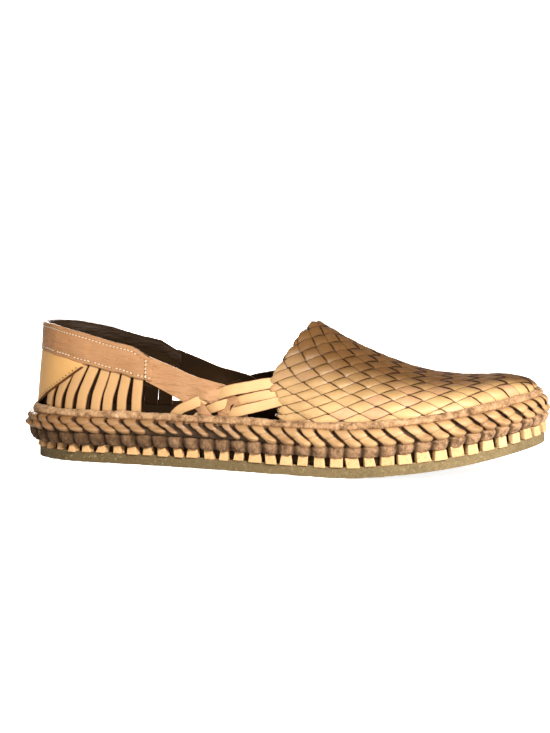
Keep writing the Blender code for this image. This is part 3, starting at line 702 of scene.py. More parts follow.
def hide_finish():
    """One finish for all the tan leather: tone by piece, darker towards the heel partly as painted shade,
    mottling and stains, painted shade on the top and along the edges, and fine grain.
    """
    group = bpy.data.node_groups.new("hide_finish", "ShaderNodeTree")
    for name in FINISH_COLOURS:
        group.interface.new_socket(name, in_out="INPUT", socket_type="NodeSocketColor")
    for name in FINISH_VALUES:
        group.interface.new_socket(name, in_out="INPUT", socket_type="NodeSocketFloat")
    for name, kind in (("Colour", "Color"), ("Roughness", "Float"), ("Height", "Float")):
        group.interface.new_socket(name, in_out="OUTPUT", socket_type="NodeSocket" + kind)
    given = group.nodes.new("NodeGroupInput")
    given_out = group.nodes.new("NodeGroupOutput")
    tone = attribute(group, "tone")
    edge = attribute(group, "edge")
    crest = attribute(group, "crest")
    cloud = noise(group, 55, 4, 0.55)
    stain = noise(group, 260, 5, 0.65)
    pores = noise(group, 1500, 4, 0.7)
    body = mixed(group, maths(group, "POWER", tone, 6), given.outputs["Colour"], given.outputs["Rose"])
    # Darker towards the heel: partly the leather's own colour, partly painted shade where the key light falls
    # off.
    body = mixed(group, smooth_step(group, toe_share(group), 0.75, -0.1), body, given.outputs["Shade"])
    dull = maths(group, "MULTIPLY", smooth_step(group, cloud, 0.38, 0.72), given.outputs["Mottle"])
    body = mixed(group, dull, body, given.outputs["Shade"])
    spots = maths(group, "MULTIPLY", smooth_step(group, stain, 0.55, 0.75), 0.2)
    body = mixed(group, spots, body, given.outputs["Shade"])
    # Painted shade on the top: crest, from the welt up to the ridge, darkens the upper part towards the shade
    # colour.
    top_shaded = maths(group, "MULTIPLY", smooth_step(group, crest, 0.05, 0.62), given.outputs["Top shade"])
    body = mixed(group, top_shaded, body, given.outputs["Shade"])
    ragged = maths(group, "MULTIPLY", maths(group, "SUBTRACT", stain, 0.5), 0.25)
    # Painted shade along the edges, at the crossings and in the creases that the edge mark gives.
    edge_shade = smooth_step(group, maths(group, "ADD", edge, ragged), given.outputs["Edge start"], 1.02)
    body = mixed(group, edge_shade, body, given.outputs["Edge shade"])
    rough = maths(group, "ADD", maths(group, "MULTIPLY", stain, 0.3), 0.38)
    fine = maths(group, "MULTIPLY", pores, given.outputs["Grain"])
    height = maths(group, "ADD", maths(group, "MULTIPLY", stain, 0.6), fine)
    dress(group, given_out, {"Colour": body, "Roughness": rough, "Height": height})
    return group


HIDE_FINISH = hide_finish()


def finished(tree, colours, values):
    """The common finish with a leather's own colours and values."""
    finish = node(tree, "ShaderNodeGroup", node_tree=HIDE_FINISH)
    dress(tree, finish, dict(zip(FINISH_COLOURS + FINISH_VALUES, colours + values)))
    return finish


def hide(name, colours, edge_start=0.9, mottle=0.5, top_shade=0.0, gloss=HIDE_GLOSS):
    """Leather with its body, rose and shade colours, and the colour of the painted shade along its edges."""
    material, tree, shader = new_material(name)
    finish = finished(tree, colours, (edge_start, mottle, 0.5, top_shade))
    dress(tree, shader, {
        "Base Color": finish.outputs["Colour"],
        "Roughness": finish.outputs["Roughness"],
        "Normal": bumped(tree, finish.outputs["Height"], 0.2 * MM),
        "Specular IOR Level": 0.4 if gloss else 0.1,
        "Coat Weight": gloss,
        "Coat Roughness": HIDE_COAT,
    })
    return material


stitch_hide = hide("stitch_leather", (STITCH_TAN, STITCH_ROSE, STITCH_SHADE, STITCH_EDGE_SHADE), 0.72, 0.7)
laced_edge.data.materials.append(stitch_hide)
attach(laced_edge, "root")
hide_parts("braid")


# The toe of the upper is a plain weave of two sets of tan strips, each over one and under one, laid aslant
# over the last, folded in at the throat and tucked into the welt all round.
STRIP_THICK = 1.05 * MM
WEAVE_MIDDLE = -1.3 * MM
WEAVE_WAVE = 0.8 * MM
STRIP_SHARE = 0.985
STRIP_TILT = 0.12 * MM
STRIP_CUTS = 6
STRIP_SWELL = 0.26
FOLD_DEEP = 3.4 * MM
FOLD_LONG = 0.13
STRIP_COLOURS = ((0.58, 0.375, 0.175), (0.62, 0.35, 0.215), (0.145, 0.072, 0.023), (0.05, 0.022, 0.008))
FLESH_SHADE_COLOURS = ((0.05, 0.026, 0.011), (0.06, 0.032, 0.015), (0.02, 0.011, 0.005), (0.02, 0.011, 0.005))
THROAT_PEAK = 0.574
WEAVE_FOOT = 0.541
Rim = namedtuple("Rim", "share rise")
COLLAR = (
    # rise is the height over the welt, a share of INSTEP_HEIGHT
    Rim(0.000, 0.88),
    Rim(0.042, 0.865),
    Rim(0.112, 0.80),
    Rim(0.184, 0.71),
    Rim(0.223, 0.68),
    Rim(0.261, 0.575),
    Rim(0.363, 0.355),
    Rim(0.396, 0.29),
    Rim(0.444, 0.34),
    Rim(0.509, 0.41),
    Rim(0.521, 0.525),
    Rim(0.533, 0.636),
    Rim(0.5456, 0.74),
    Rim(0.549, 0.81),
    Rim(0.5596, 0.89),
)


def leather(share, angle, side, out):
    """A point of the last's surface, from the welt (angle 0) to the ridge (a quarter turn)."""
    nose = np.clip((share - NOSE_ROUND) / (1 - NOSE_ROUND), 0, 1)
    crown = (along("crown", share) * INSTEP_HEIGHT + out) * (1 - nose**2) ** (1 / 1.7)
    rise = crown * np.sin(angle) ** (2 / along("flank", share))
    reach = half_width(share, out) * np.cos(angle) ** (2 / along("shoulder", share))
    lean = HEEL_LEAN * rise / INSTEP_HEIGHT * np.clip(1 - share / 0.3, 0, 1) ** 2
    x = share * (LAST_LENGTH + 2 * out) - out + lean - MIDDLE[0]
    y = along("centre", share) * BALL_WIDTH + side * reach - MIDDLE[1]
    return np.stack([x, y, WELT_TOP + spring(share) + rise], -1)


TABLE_SHARES = np.linspace(0, 1, 241)
TABLE_ANGLES = np.linspace(0, math.pi / 2, 121)
TABLE_PARTS = np.linspace(0, 1, 121)
table_points = leather(
    TABLE_SHARES[:, None] + 0 * TABLE_ANGLES, TABLE_ANGLES + 0 * TABLE_SHARES[:, None], 1, 0
)
table_steps = np.linalg.norm(np.diff(table_points, axis=1), axis=2)
GIRTHS = np.concatenate([np.zeros((len(TABLE_SHARES), 1)), np.cumsum(table_steps, axis=1)], 1)
ANGLE_AT = np.array([np.interp(TABLE_PARTS * max(row[-1], 1e-9), row, TABLE_ANGLES) for row in GIRTHS])


def full_girth(share):
    """Girth from the welt up to the ridge."""
    return np.interp(share, TABLE_SHARES, GIRTHS[:, -1])


def read_table(table, place, part):
    """A table read between its rows and columns."""
    row = np.clip(place.astype(int), 0, table.shape[0] - 2)
    column = np.clip(part.astype(int), 0, table.shape[1] - 2)
    u = place - row
    v = part - column
    low = table[row, column] * (1 - v) + table[row, column + 1] * v
    high = table[row + 1, column] * (1 - v) + table[row + 1, column + 1] * v
    return low * (1 - u) + high * u


def on_last(share, girth, side, out):
    """A point of the leather by its length up the wall; below the welt it goes straight down."""
    share = np.clip(share, 0, 1)
    part = np.clip(girth / np.maximum(full_girth(share), 1e-6), 0, 1) * (len(TABLE_PARTS) - 1)
    angle = read_table(ANGLE_AT, share * (len(TABLE_SHARES) - 1), part)
    point = leather(share, angle, side, out)
    point[..., 2] += np.minimum(girth, 0)
    return point


def girth_at_rise(share, rise):
    """Length up the wall to a height over the welt."""
    heights = leather(np.full(len(TABLE_ANGLES), share), TABLE_ANGLES, 1, 0)[:, 2] - WELT_TOP - spring(share)
    place = share * (len(TABLE_SHARES) - 1)
    row = min(int(place), len(TABLE_SHARES) - 2)
    girths = GIRTHS[row] * (row + 1 - place) + GIRTHS[row + 1] * (place - row)
    return float(np.interp(rise, heights, girths))


def weave_place(p, q):
    """Share, girth and side of the place where strip edges p and q cross."""
    number = (p + q) / 2
    ridge = 5.5 - 0.3 * (np.sqrt(number**2 + 1) + number) / 2
    strips = ridge - (p - q) / 2
    count = np.abs(strips)
    near = np.minimum(count, 5.3)
    cross = near * (11.5 - 1.18 * number + 0.137 * number**2) + (0.0134 * number - 0.048) * near**3
    cross = (cross + 8 * (count - near)) * MM
    low = np.minimum(number, 4)
    share = 0.641 + 0.0355 * low + 0.0021 * low**2 + 0.05 * (number - low)
    share = share + (0.0098 * number - 0.0305) * (cross / (50 * MM)) ** 2
    girth = full_girth(np.maximum(share, 0.9 * THROAT_PEAK)) - cross
    return share, girth, np.where(strips > 0, -1, 1)


throat_rows = [row for row in COLLAR if row.share >= 0.509]
throat_girths = [0.0] + [girth_at_rise(row.share, row.rise * INSTEP_HEIGHT) for row in throat_rows]
throat_girths += [float(full_girth(THROAT_PEAK)) - 3 * MM, float(full_girth(THROAT_PEAK)) + 20 * MM]
throat_shares = [WEAVE_FOOT] + [row.share for row in throat_rows] + [THROAT_PEAK, THROAT_PEAK]


def ahead_of_throat(share, girth):
    return share - np.interp(girth, throat_girths, throat_shares)


def strip_ends(along_place):
    """Where a strip leaves the weave at both of its ends, and whether it folds in there, at the throat, or
    runs on under the welt. Nothing for a strip outside the weave."""
    places = np.linspace(-16, 16, 641)
    share, girth, _ = along_place(places)
    inside = (ahead_of_throat(share, girth) > 0) & (girth > -2.6 * MM) & (share < 1)
    kept = np.nonzero(inside)[0]
    if len(kept) < 14:
        return None
    gaps = np.nonzero(np.diff(kept) > 1)[0]
    if len(gaps):
        kept = max(np.split(kept, gaps + 1), key=len)
    return [(places[place], girth[place] > 1 * MM) for place in (kept[0], kept[-1])]


def outwards(piece):
    """Turns the faces of an open sheet so that they point away from the foot."""
    corners = points_of(piece)[[list(face.vertices) for face in piece.data.polygons]]
    normal = np.cross(corners[:, 2] - corners[:, 0], corners[:, 3] - corners[:, 1])
    away = corners.mean(axis=1)
    away[:, 1] -= along("centre", (away[:, 0] + MIDDLE[0]) / LAST_LENGTH) * BALL_WIDTH - MIDDLE[1]
    away[:, 0] -= np.clip(away[:, 0], -0.10, 0.10)
    away[:, 2] -= 0.02
    if np.median(np.sum(normal * away, axis=1)) < 0:
        piece.data.flip_normals()


def weave_strip(name, band, over_sign, along_first):
    """One strip between edges band and band + 1; it runs along p if along_first, otherwise along q."""
    shift = chance.uniform(-0.015, 0.015)
    half = 0.5 * STRIP_SHARE * chance.uniform(0.985, 1.015)

    def place(run, across):
        edge = band + 0.5 + shift + across
        return weave_place(run, edge) if along_first else weave_place(edge, run)

    ends = strip_ends(lambda run: place(run, 0))
    if ends is None:
        return None
    (first, fold_first), (last, fold_last) = ends
    starts = []
    stops = []
    for column in np.linspace(-1, 1, STRIP_CUTS + 1):
        found = strip_ends(lambda run: place(run, column * half)) or ends
        swell = STRIP_SWELL * (1 - column**2)
        starts.append(np.clip(found[0][0], first - 0.7, first + 0.7) - swell * fold_first)
        stops.append(np.clip(found[1][0], last - 0.7, last + 0.7) + swell * fold_last)
    count = max(int((last - first) * 9), 6)
    fold = np.linspace(0, math.pi / 2, 5)[1:]
    part = np.linspace(0, 1, count + 1)
    beyond = np.zeros(count + 1)
    drop = np.zeros(count + 1)
    if fold_first:
        part = np.concatenate([0 * fold, part])
        beyond = np.concatenate([(-FOLD_LONG * np.sin(fold))[::-1], beyond])
        drop = np.concatenate([(1 - np.cos(fold))[::-1], drop])
    if fold_last:
        part = np.concatenate([part, 0 * fold + 1])
        beyond = np.concatenate([beyond, FOLD_LONG * np.sin(fold)])
        drop = np.concatenate([drop, 1 - np.cos(fold)])
    piece, u, v = flat_grid(name, len(part) - 1, STRIP_CUTS)
    row = np.round(u * (len(part) - 1)).astype(int)
    column = np.round(v * STRIP_CUTS).astype(int)
    run = np.array(starts)[column] * (1 - part[row]) + np.array(stops)[column] * part[row] + beyond[row]
    across = (2 * v - 1) * half
    share, girth, side = place(run, across)
    wave = np.sin(np.pi * run)
    wave = wave * (1.35 - 0.35 * wave**2) * over_sign
    crown = 0.2 * MM * (1 - np.abs(2 * v - 1) ** 3) - 0.1 * MM
    edges = place(np.array([first + last, first + last]) / 2, np.array([-half, half]))[int(along_first)]
    tilt = STRIP_TILT * np.sign(edges[0] - edges[1])
    out = WEAVE_MIDDLE + WEAVE_WAVE * wave + crown + tilt * (2 * v - 1) - FOLD_DEEP * drop[row]
    set_points(piece, on_last(share, girth, side, out))
    outwards(piece)
    mark(piece, "tone", chance.uniform(0, 1))
    # Painted shade along the strip's sides and where it dives under the crossing strip: both are marked as
    # edge and darkened.
    dive = np.clip(1 - (np.sin(np.pi * run) * over_sign + 0.02) / 0.28, 0, 1)
    mark(piece, "edge", np.maximum(np.abs(2 * v - 1) ** 2, dive))
    # Painted shade on the top: crest, from the welt to the ridge, darkens the upper part of the weave.
    mark(piece, "crest", np.clip(girth / full_girth(share), 0, 1))
    return piece


strips = []
for band in range(-14, 14):
    sign = 1 if band % 2 else -1
    strips.append(weave_strip("strip", band, sign, True))
    strips.append(weave_strip("strip", band, -sign, False))
woven_toe = join([piece for piece in strips if piece], "woven_toe")
# Painted shade: the flesh side inside the strips is coloured near black, as the inside of the shoe is in
# shade.
flesh_side = hide("flesh_side", FLESH_SHADE_COLOURS, mottle=0.6, gloss=0.0)
# Only the weave takes the painted shade on its top.
strip_hide = hide("strip_leather", STRIP_COLOURS, 0.68, 0.3, top_shade=1.0)


def backed(piece, face):
    """Gives a sheet of strips its thickness, with the grain outside and the flesh side inside, painted near
    black as shade.
    """
    piece.data.materials.append(face)
    piece.data.materials.append(flesh_side)
    apply_modifier(piece, "SOLIDIFY", thickness=STRIP_THICK, offset=0, material_offset=1)
    smooth(piece, 50)


backed(woven_toe, strip_hide)
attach(woven_toe, "root")
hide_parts("upper")


# Behind the weave each side is open work: three straps of the toe run back and down to the welt, through
# three fingers that the collar's strap is slit into, and short strips stand up round the quarter.
STRAP_OUT = 1.4 * WEAVE_WAVE
STRAP_WIDER = 1.1
QUARTER_MIDDLE = -1.35 * MM
QUARTER_OUT = 0.4 * MM
QUARTER_WIDER = {-1: 0.92, 1: 1.36}
QUARTER_COLOURS = ((0.66, 0.43, 0.215), (0.66, 0.41, 0.235), (0.40, 0.23, 0.095), (0.18, 0.08, 0.03))
FINGER_ROW = 1.1 * MM
SLIT_STARTS = (62 * MM, 32 * MM)
SLIT_OPENS = 6 * MM
Way = namedtuple("Way", "share girth lift half")
SIDE_STRAPS = {
    # girth, lift and half width in mm; lift is 1 over a finger and -1 under it
    "first": (
        Way(0.548, 19.0, -1.6, 2.4), Way(0.520, 20.3, -0.6, 2.6), Way(0.500, 19.5, 0.0, 2.8),
        Way(0.465, 17.2, 0.3, 2.8), Way(0.417, 13.7, 1.0, 2.8), Way(0.383, 10.3, -1.0, 2.7),
        Way(0.350, 6.1, 1.0, 2.6), Way(0.318, 1.5, 0.0, 2.5), Way(0.304, -2.5, -0.8, 2.5),
    ),
    "second": (
        Way(0.565, 14.5, -1.6, 2.2), Way(0.530, 14.6, -0.6, 2.2), Way(0.500, 13.4, 0.0, 2.3),
        Way(0.467, 11.2, -0.3, 2.4), Way(0.430, 8.4, -1.0, 2.4), Way(0.399, 5.3, 1.0, 2.4),
        Way(0.372, 2.2, -1.0, 2.3), Way(0.352, -2.5, -0.8, 2.3),
    ),
    "third": (
        Way(0.592, 14.0, -1.6, 2.4), Way(0.560, 12.8, -0.6, 2.4), Way(0.525, 10.2, 0.0, 2.5),
        Way(0.488, 7.0, 0.4, 2.5), Way(0.444, 3.4, 1.0, 2.5), Way(0.412, 0.6, -0.6, 2.4),
        Way(0.398, -2.5, -0.8, 2.4),
    ),
    "fourth": (
        Way(0.600, 10.5, -1.6, 2.4), Way(0.570, 8.8, -0.8, 2.5), Way(0.548, 5.0, 0.0, 2.5),
        Way(0.536, 1.0, 0.2, 2.5), Way(0.529, -2.5, -0.4, 2.5),
    ),
}
FINGERS = {
    "first": (
        Way(0.255, 28.2, 0.6, 3.0), Way(0.300, 23.8, 0.2, 2.8), Way(0.350, 18.8, 0.0, 2.5),
        Way(0.385, 16.5, -0.2, 2.5), Way(0.417, 13.7, -1.0, 2.5), Way(0.430, 8.4, 1.0, 2.5),
        Way(0.444, 3.6, -1.0, 2.5), Way(0.452, -2.5, -0.8, 2.5),
    ),
    "second": (
        Way(0.255, 23.9, 0.6, 2.5), Way(0.300, 19.0, 0.2, 2.5), Way(0.345, 14.4, 0.0, 2.5),
        Way(0.383, 10.3, 1.0, 2.5), Way(0.399, 5.3, -1.0, 2.4), Way(0.412, 0.6, 0.6, 2.4),
        Way(0.418, -2.5, -0.2, 2.4),
    ),
    "third": (
        Way(0.255, 19.6, 0.6, 2.4), Way(0.295, 14.4, 0.2, 2.6), Way(0.325, 10.1, 0.0, 2.6),
        Way(0.350, 6.1, -1.0, 2.5), Way(0.372, 2.2, 1.0, 2.3), Way(0.384, -2.5, 0.0, 2.3),
    ),
}
QUARTER = (
    # outer strips of the quarter, from their foot in the welt to their head under the collar band
    (Way(0.041, -2.5, 0, 2.4), Way(0.043, 6, 0.2, 2.4), Way(0.052, 14, 0.1, 2.6), Way(0.062, 20, -0.2, 3.0)),
    (Way(0.063, -2.5, 0, 2.3), Way(0.067, 7, 0.3, 2.4), Way(0.078, 15, 0.1, 2.8), Way(0.090, 23, -0.2, 3.2)),
    (Way(0.088, -2.5, 0, 2.5), Way(0.093, 8, 0.3, 2.7), Way(0.105, 17, 0.1, 3.0), Way(0.118, 26, -0.2, 3.4)),
    (Way(0.115, -2.5, 0, 3.1), Way(0.121, 9, 0.4, 3.1), Way(0.133, 18, 0.2, 3.1), Way(0.147, 28, -0.2, 3.1)),
    (Way(0.145, -2.5, 0, 2.9), Way(0.150, 8, 0.4, 3.0), Way(0.160, 17, 0.2, 3.0), Way(0.170, 27, -0.2, 3.0)),
    (Way(0.170, -2.5, 0, 3.0), Way(0.174, 8, 0.4, 3.1), Way(0.182, 16, 0.2, 3.1), Way(0.191, 26, -0.2, 3.1)),
    (Way(0.200, -2.5, 0, 2.9), Way(0.202, 8, 0.4, 3.0), Way(0.207, 16, 0.2, 3.0), Way(0.213, 25, -0.2, 3.0)),
    (Way(0.231, -2.5, 0, 3.1), Way(0.232, 8, 0.4, 3.1), Way(0.234, 15, 0.2, 3.1), Way(0.236, 24, -0.2, 3.1)),
)


def way_marks(rows):
    """Lengths from the first row of a way to each of its rows, in mm."""
    steps = [
        math.hypot((b.share - a.share) * LAST_LENGTH / MM, b.girth - a.girth) for a, b in zip(rows, rows[1:])
    ]
    return np.concatenate([[0], np.cumsum(steps)])


def curve(rows, name, part):
    """A column of a way, read as one smooth curve over equal parts of its rows' distances."""
    values = np.array([getattr(row, name) for row in rows], dtype=float)
    marks = way_marks(rows)
    return smooth_curve(marks, values, part * marks[-1])


def strap(name, rows, side, middle, wave, wider):
    """A strap laid on the last along its way."""
    piece, u, v = flat_grid(name, max(int(way_marks(rows)[-1] / 1.1), 8), 6)
    across = 2 * v - 1
    x = curve(rows, "share", u) * LAST_LENGTH
    girth = curve(rows, "girth", u) * MM
    ahead = curve(rows, "share", np.minimum(u + 0.004, 1)) * LAST_LENGTH
    behind = curve(rows, "share", np.maximum(u - 0.004, 0)) * LAST_LENGTH
    after = curve(rows, "girth", np.minimum(u + 0.004, 1))
    up = (after - curve(rows, "girth", np.maximum(u - 0.004, 0))) * MM
    run = ahead - behind
    size = np.hypot(run, up)
    wide = curve(rows, "half", u) * MM * across * wider
    crown = 0.22 * MM * (1 - np.abs(across) ** 3) - 0.1 * MM
    out = middle + wave * curve(rows, "lift", u) + crown
    share = (x - up / size * wide) / LAST_LENGTH
    girth = girth + run / size * wide
    set_points(piece, on_last(share, girth, side, out))
    outwards(piece)
    mark(piece, "tone", chance.uniform(0, 1))
    # Painted shade along the sides of the strap, from the edge mark.
    mark(piece, "edge", np.abs(across))
    mark(piece, "crest", np.clip(girth / full_girth(share), 0, 1))
    return piece


def collar_sheet(side):
    """The collar's strap: one sheet from the band, slit into three fingers that part one after the other."""
    edges = []
    for rows in FINGERS.values():
        length = way_marks(rows)[-1] * MM
        part = np.arange(0, length, FINGER_ROW) / length
        x = curve(rows, "share", part) * LAST_LENGTH
        girth = curve(rows, "girth", part) * MM
        run = np.gradient(x)
        up = np.gradient(girth)
        size = np.hypot(run, up)
        half = curve(rows, "half", part) * MM
        lift = curve(rows, "lift", part)
        edges.append([
            np.stack([x - sign * up / size * half, girth + sign * run / size * half, lift])
            for sign in (1, -1)
        ])
    for number, slit in enumerate(SLIT_STARTS):
        upper, lower = edges[number][1], edges[number + 1][0]
        count = min(upper.shape[1], lower.shape[1])
        split = np.clip((np.arange(count) * FINGER_ROW - slit) / SLIT_OPENS, 0, 1)
        middle = (upper[:, :count] + lower[:, :count]) / 2
        upper[:, :count] = middle * (1 - split) + upper[:, :count] * split
        lower[:, :count] = middle * (1 - split) + lower[:, :count] * split
    tone = chance.uniform(0.2, 0.6)
    pieces = []
    for number, (top, foot) in enumerate(edges):
        rows_found = top.shape[1]
        piece, u, v = flat_grid("finger", rows_found - 1, 5)
        row = np.round(u * (rows_found - 1)).astype(int)
        place = top[:, row] * (1 - v) + foot[:, row] * v
        start = SLIT_STARTS[min(number, 1)]
        parted = np.clip((row * FINGER_ROW - start) / SLIT_OPENS, 0, 1)
        crown = 0.2 * MM * (1 - np.abs(2 * v - 1) ** 3) * parted
        out = WEAVE_MIDDLE + STRAP_OUT * place[2] + crown
        set_points(piece, on_last(place[0] / LAST_LENGTH, place[1], side, out))
        outwards(piece)
        mark(piece, "tone", tone)
        # Painted shade along the sides of each finger, once it has parted.
        mark(piece, "edge", np.abs(2 * v - 1) * parted)
        mark(piece, "crest", 0.0)
        pieces.append(piece)
    sheet = join(pieces, "collar_strap")
    merge(sheet, 0.01 * MM)
    outwards(sheet)
    return sheet


side_straps = []
collar_straps = []
quarter_strips = []
for side in (-1, 1):
    for rows in SIDE_STRAPS.values():
        side_straps.append(strap("side_strap", rows, side, WEAVE_MIDDLE, STRAP_OUT, STRAP_WIDER))
    collar_straps.append(collar_sheet(side))
    for rows in QUARTER:
        wider = QUARTER_WIDER[side]
        quarter_strips.append(strap("quarter_strip", rows, side, QUARTER_MIDDLE, QUARTER_OUT, wider))
quarter_hide = hide("quarter_leather", QUARTER_COLOURS, 0.80, 0.45)
side_strap = join(side_straps, "side_straps")
quarter = join(quarter_strips, "quarter_strips")
for piece in (side_strap, quarter):
    backed(piece, quarter_hide)
    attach(piece, "root")
    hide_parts("upper")


# The heel is lined with one piece of smooth leather, which the band and the counter are sewn to; it is
# painted near black, which stands for the shade inside the shoe. It reaches down to the welt at the back, and
# at the sides it ends just under the band.
BAND_FOOT = (
    # rise is the height over the welt, a share of INSTEP_HEIGHT
    Rim(0.000, 0.575), Rim(0.061, 0.535), Rim(0.130, 0.455),
    Rim(0.202, 0.375), Rim(0.247, 0.325), Rim(0.27, 0.30),
)
BAND_END = 0.266
LINING_BACK = 0.13
LINING_SHADE_COLOURS = ((0.06, 0.032, 0.014), (0.07, 0.038, 0.018), (0.025, 0.014, 0.006), (0.02, 0.011, 0.005))
HEEL_RADIUS = HEEL_ROUND * LAST_LENGTH


def run_of(share):
    x = share * LAST_LENGTH
    if x < HEEL_RADIUS:
        return HEEL_RADIUS * math.acos(1 - x / HEEL_RADIUS)
    return HEEL_RADIUS * (math.pi / 2 - 1) + x


def share_of(run):
    rolled = HEEL_RADIUS * (1 - np.cos(np.clip(run / HEEL_RADIUS, 0, math.pi / 2)))
    straight = run - HEEL_RADIUS * (math.pi / 2 - 1)
    return np.where(run < HEEL_RADIUS * math.pi / 2, rolled, straight) / LAST_LENGTH


def rise_at(rows, share):
    return np.interp(share, [row.share for row in rows], [row.rise for row in rows]) * INSTEP_HEIGHT


HEEL_SHARES = np.linspace(0, 0.3, 31)
HEEL_RISES = np.linspace(0, 1.6, 81) * INSTEP_HEIGHT
heel_girths = np.array([[girth_at_rise(share, rise) for rise in HEEL_RISES] for share in HEEL_SHARES])


def heel_girth(share, rise):
    """Length up the wall of the heel to a height over the welt, for whole arrays."""
    part = np.maximum(rise, 0) / (HEEL_RISES[1] - HEEL_RISES[0])
    place = np.clip(share / HEEL_SHARES[-1], 0, 1) * (len(HEEL_SHARES) - 1)
    return read_table(heel_girths, place, part) + np.minimum(rise, 0)


def heel_piece(name, end_share, long_cuts, rows):
    """A closed piece round the heel: rows give height and out for each place, from one end to the other."""
    piece = bpy.data.objects.new(name, bpy.data.meshes.new(name))
    bpy.context.collection.objects.link(piece)
    shape = bmesh.new()
    turns = np.linspace(-1, 1, long_cuts + 1)
    runs = np.abs(turns) * run_of(end_share)
    share = share_of(runs)
    side = np.where(turns < 0, -1, 1)
    rings = []
    for rise, out in rows:
        height = rise(share, turns) if callable(rise) else np.broadcast_to(rise, share.shape)
        reach = out(share, turns) if callable(out) else np.broadcast_to(out, share.shape)
        rings.append(on_last(share, heel_girth(share, height), side, reach))
    rings = np.stack(rings, 1)
    verts = [[shape.verts.new(point) for point in ring] for ring in rings]
    count = len(rows)
    for first, second in zip(verts, verts[1:]):
        for k in range(count):
            shape.faces.new((first[k], first[(k + 1) % count], second[(k + 1) % count], second[k]))
    shape.faces.new(verts[0])
    shape.faces.new(reversed(verts[-1]))
    bmesh.ops.recalc_face_normals(shape, faces=shape.faces)
    shape.to_mesh(piece.data)
    shape.free()
    return piece


def lining_foot(share, turns):
    return np.where(share < LINING_BACK, -1.5 * MM, rise_at(BAND_FOOT, share) - 3 * MM)


def lining_middle(share, turns):
    return 0.5 * lining_foot(share, turns) + 0.5 * rise_at(COLLAR, share)


def lining_top(share, turns):
    return rise_at(COLLAR, share) - 1.2 * MM


lining = heel_piece(
    "heel_lining", BAND_END - 0.004, 120,
    (
        (lining_foot, -2.7 * MM),
        (lining_foot, -2.1 * MM),
        (lining_middle, -2.0 * MM),
        (lining_top, -2.0 * MM),
        (lining_top, -2.8 * MM),
        (lining_middle, -2.8 * MM),
    ),
)
smooth(lining, 60)
lining.data.materials.append(hide("lining_leather", LINING_SHADE_COLOURS, mottle=0.6, gloss=0.0))
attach(lining, "root")


# The collar band is a strip of soft pinkish leather, folded over the top of the heel and sewn through in
# two rows; it has stretched into long fine creases.
def band_top(share, turns):
    return rise_at(COLLAR, share) - np.interp(share, (0, 0.2, 0.26), (1.0, 1.4, 2.4)) * MM


def band_foot(share, turns):
    return rise_at(BAND_FOOT, share) + 0.25 * MM * np.sin(turns * 37)


def between(part):
    return lambda share, turns: band_foot(share, turns) * (1 - part) + band_top(share, turns) * part


def under_top(drop):
    return lambda share, turns: band_top(share, turns) - drop


def swell(out, part):
    """The face of the band, gathered a little between its two rows of stitches."""
    def reach(share, turns):
        return out + 0.22 * MM * np.sin(turns * 61 + part * 5) * np.sin(turns * 23) * np.sin(part * 3.1)
    return reach


BAND_RINGS = 21
BAND_HIDDEN = (12, 19)
BAND_COLOURS = ((0.50, 0.295, 0.16), (0.52, 0.30, 0.17), (0.30, 0.155, 0.07), (0.24, 0.11, 0.045))
BAND_CREASE_SHADE = (0.34, 0.17, 0.075)
BAND_INSIDE_SHADE = (0.035, 0.019, 0.009)
collar_band = heel_piece(
    "collar_band", BAND_END, 220,
    (
        (between(0), -0.6 * MM),
        (between(0), 0.35 * MM),
        (between(0.05), 0.62 * MM),
        (between(0.13), 0.35 * MM),
        (between(0.3), swell(0.62 * MM, 0.3)),
        (between(0.5), swell(0.75 * MM, 0.5)),
        (between(0.7), swell(0.68 * MM, 0.7)),
        (under_top(2.9 * MM), 0.52 * MM),
        (under_top(2.2 * MM), 0.30 * MM),
        (under_top(1.4 * MM), 0.60 * MM),
        (under_top(0.2 * MM), 0.45 * MM),
        (under_top(-0.6 * MM), -0.2 * MM),
        (under_top(-0.85 * MM), -1.2 * MM),
        (under_top(-0.6 * MM), -2.3 * MM),
        (under_top(0.4 * MM), -3.0 * MM),
        (under_top(2.2 * MM), -3.15 * MM),
        (under_top(6.0 * MM), -3.1 * MM),
        (under_top(6.2 * MM), -2.75 * MM),
        (under_top(3.0 * MM), -2.6 * MM),
        (under_top(1.2 * MM), -1.2 * MM),
        (between(0.5), -0.6 * MM),
    ),
)
ring_places = np.arange(len(collar_band.data.vertices)) % BAND_RINGS
mark(collar_band, "inside", (ring_places >= BAND_HIDDEN[0]) & (ring_places <= BAND_HIDDEN[1]))
apply_modifier(collar_band, "SUBSURF", levels=1, render_levels=1)
smooth(collar_band, 70)

band_hide, tree, shader = new_material("band_leather")
finish = finished(tree, BAND_COLOURS, (0.95, 0.6, 0.3, 0.0))
creases = noise(tree, 60, 4, 0.55, (1.2, 1.2, 4))
fine = noise(tree, 190, 4, 0.6, (1.0, 1.0, 4))
# Painted shade in the creases: where the crease noise is low the band darkens towards a deep brown.
crease_lines = smooth_step(tree, creases, 0.3, 0.62)
creased = maths(tree, "MULTIPLY", maths(tree, "SUBTRACT", 1, crease_lines), 0.55)
body = mixed(tree, creased, finish.outputs["Colour"], BAND_CREASE_SHADE)
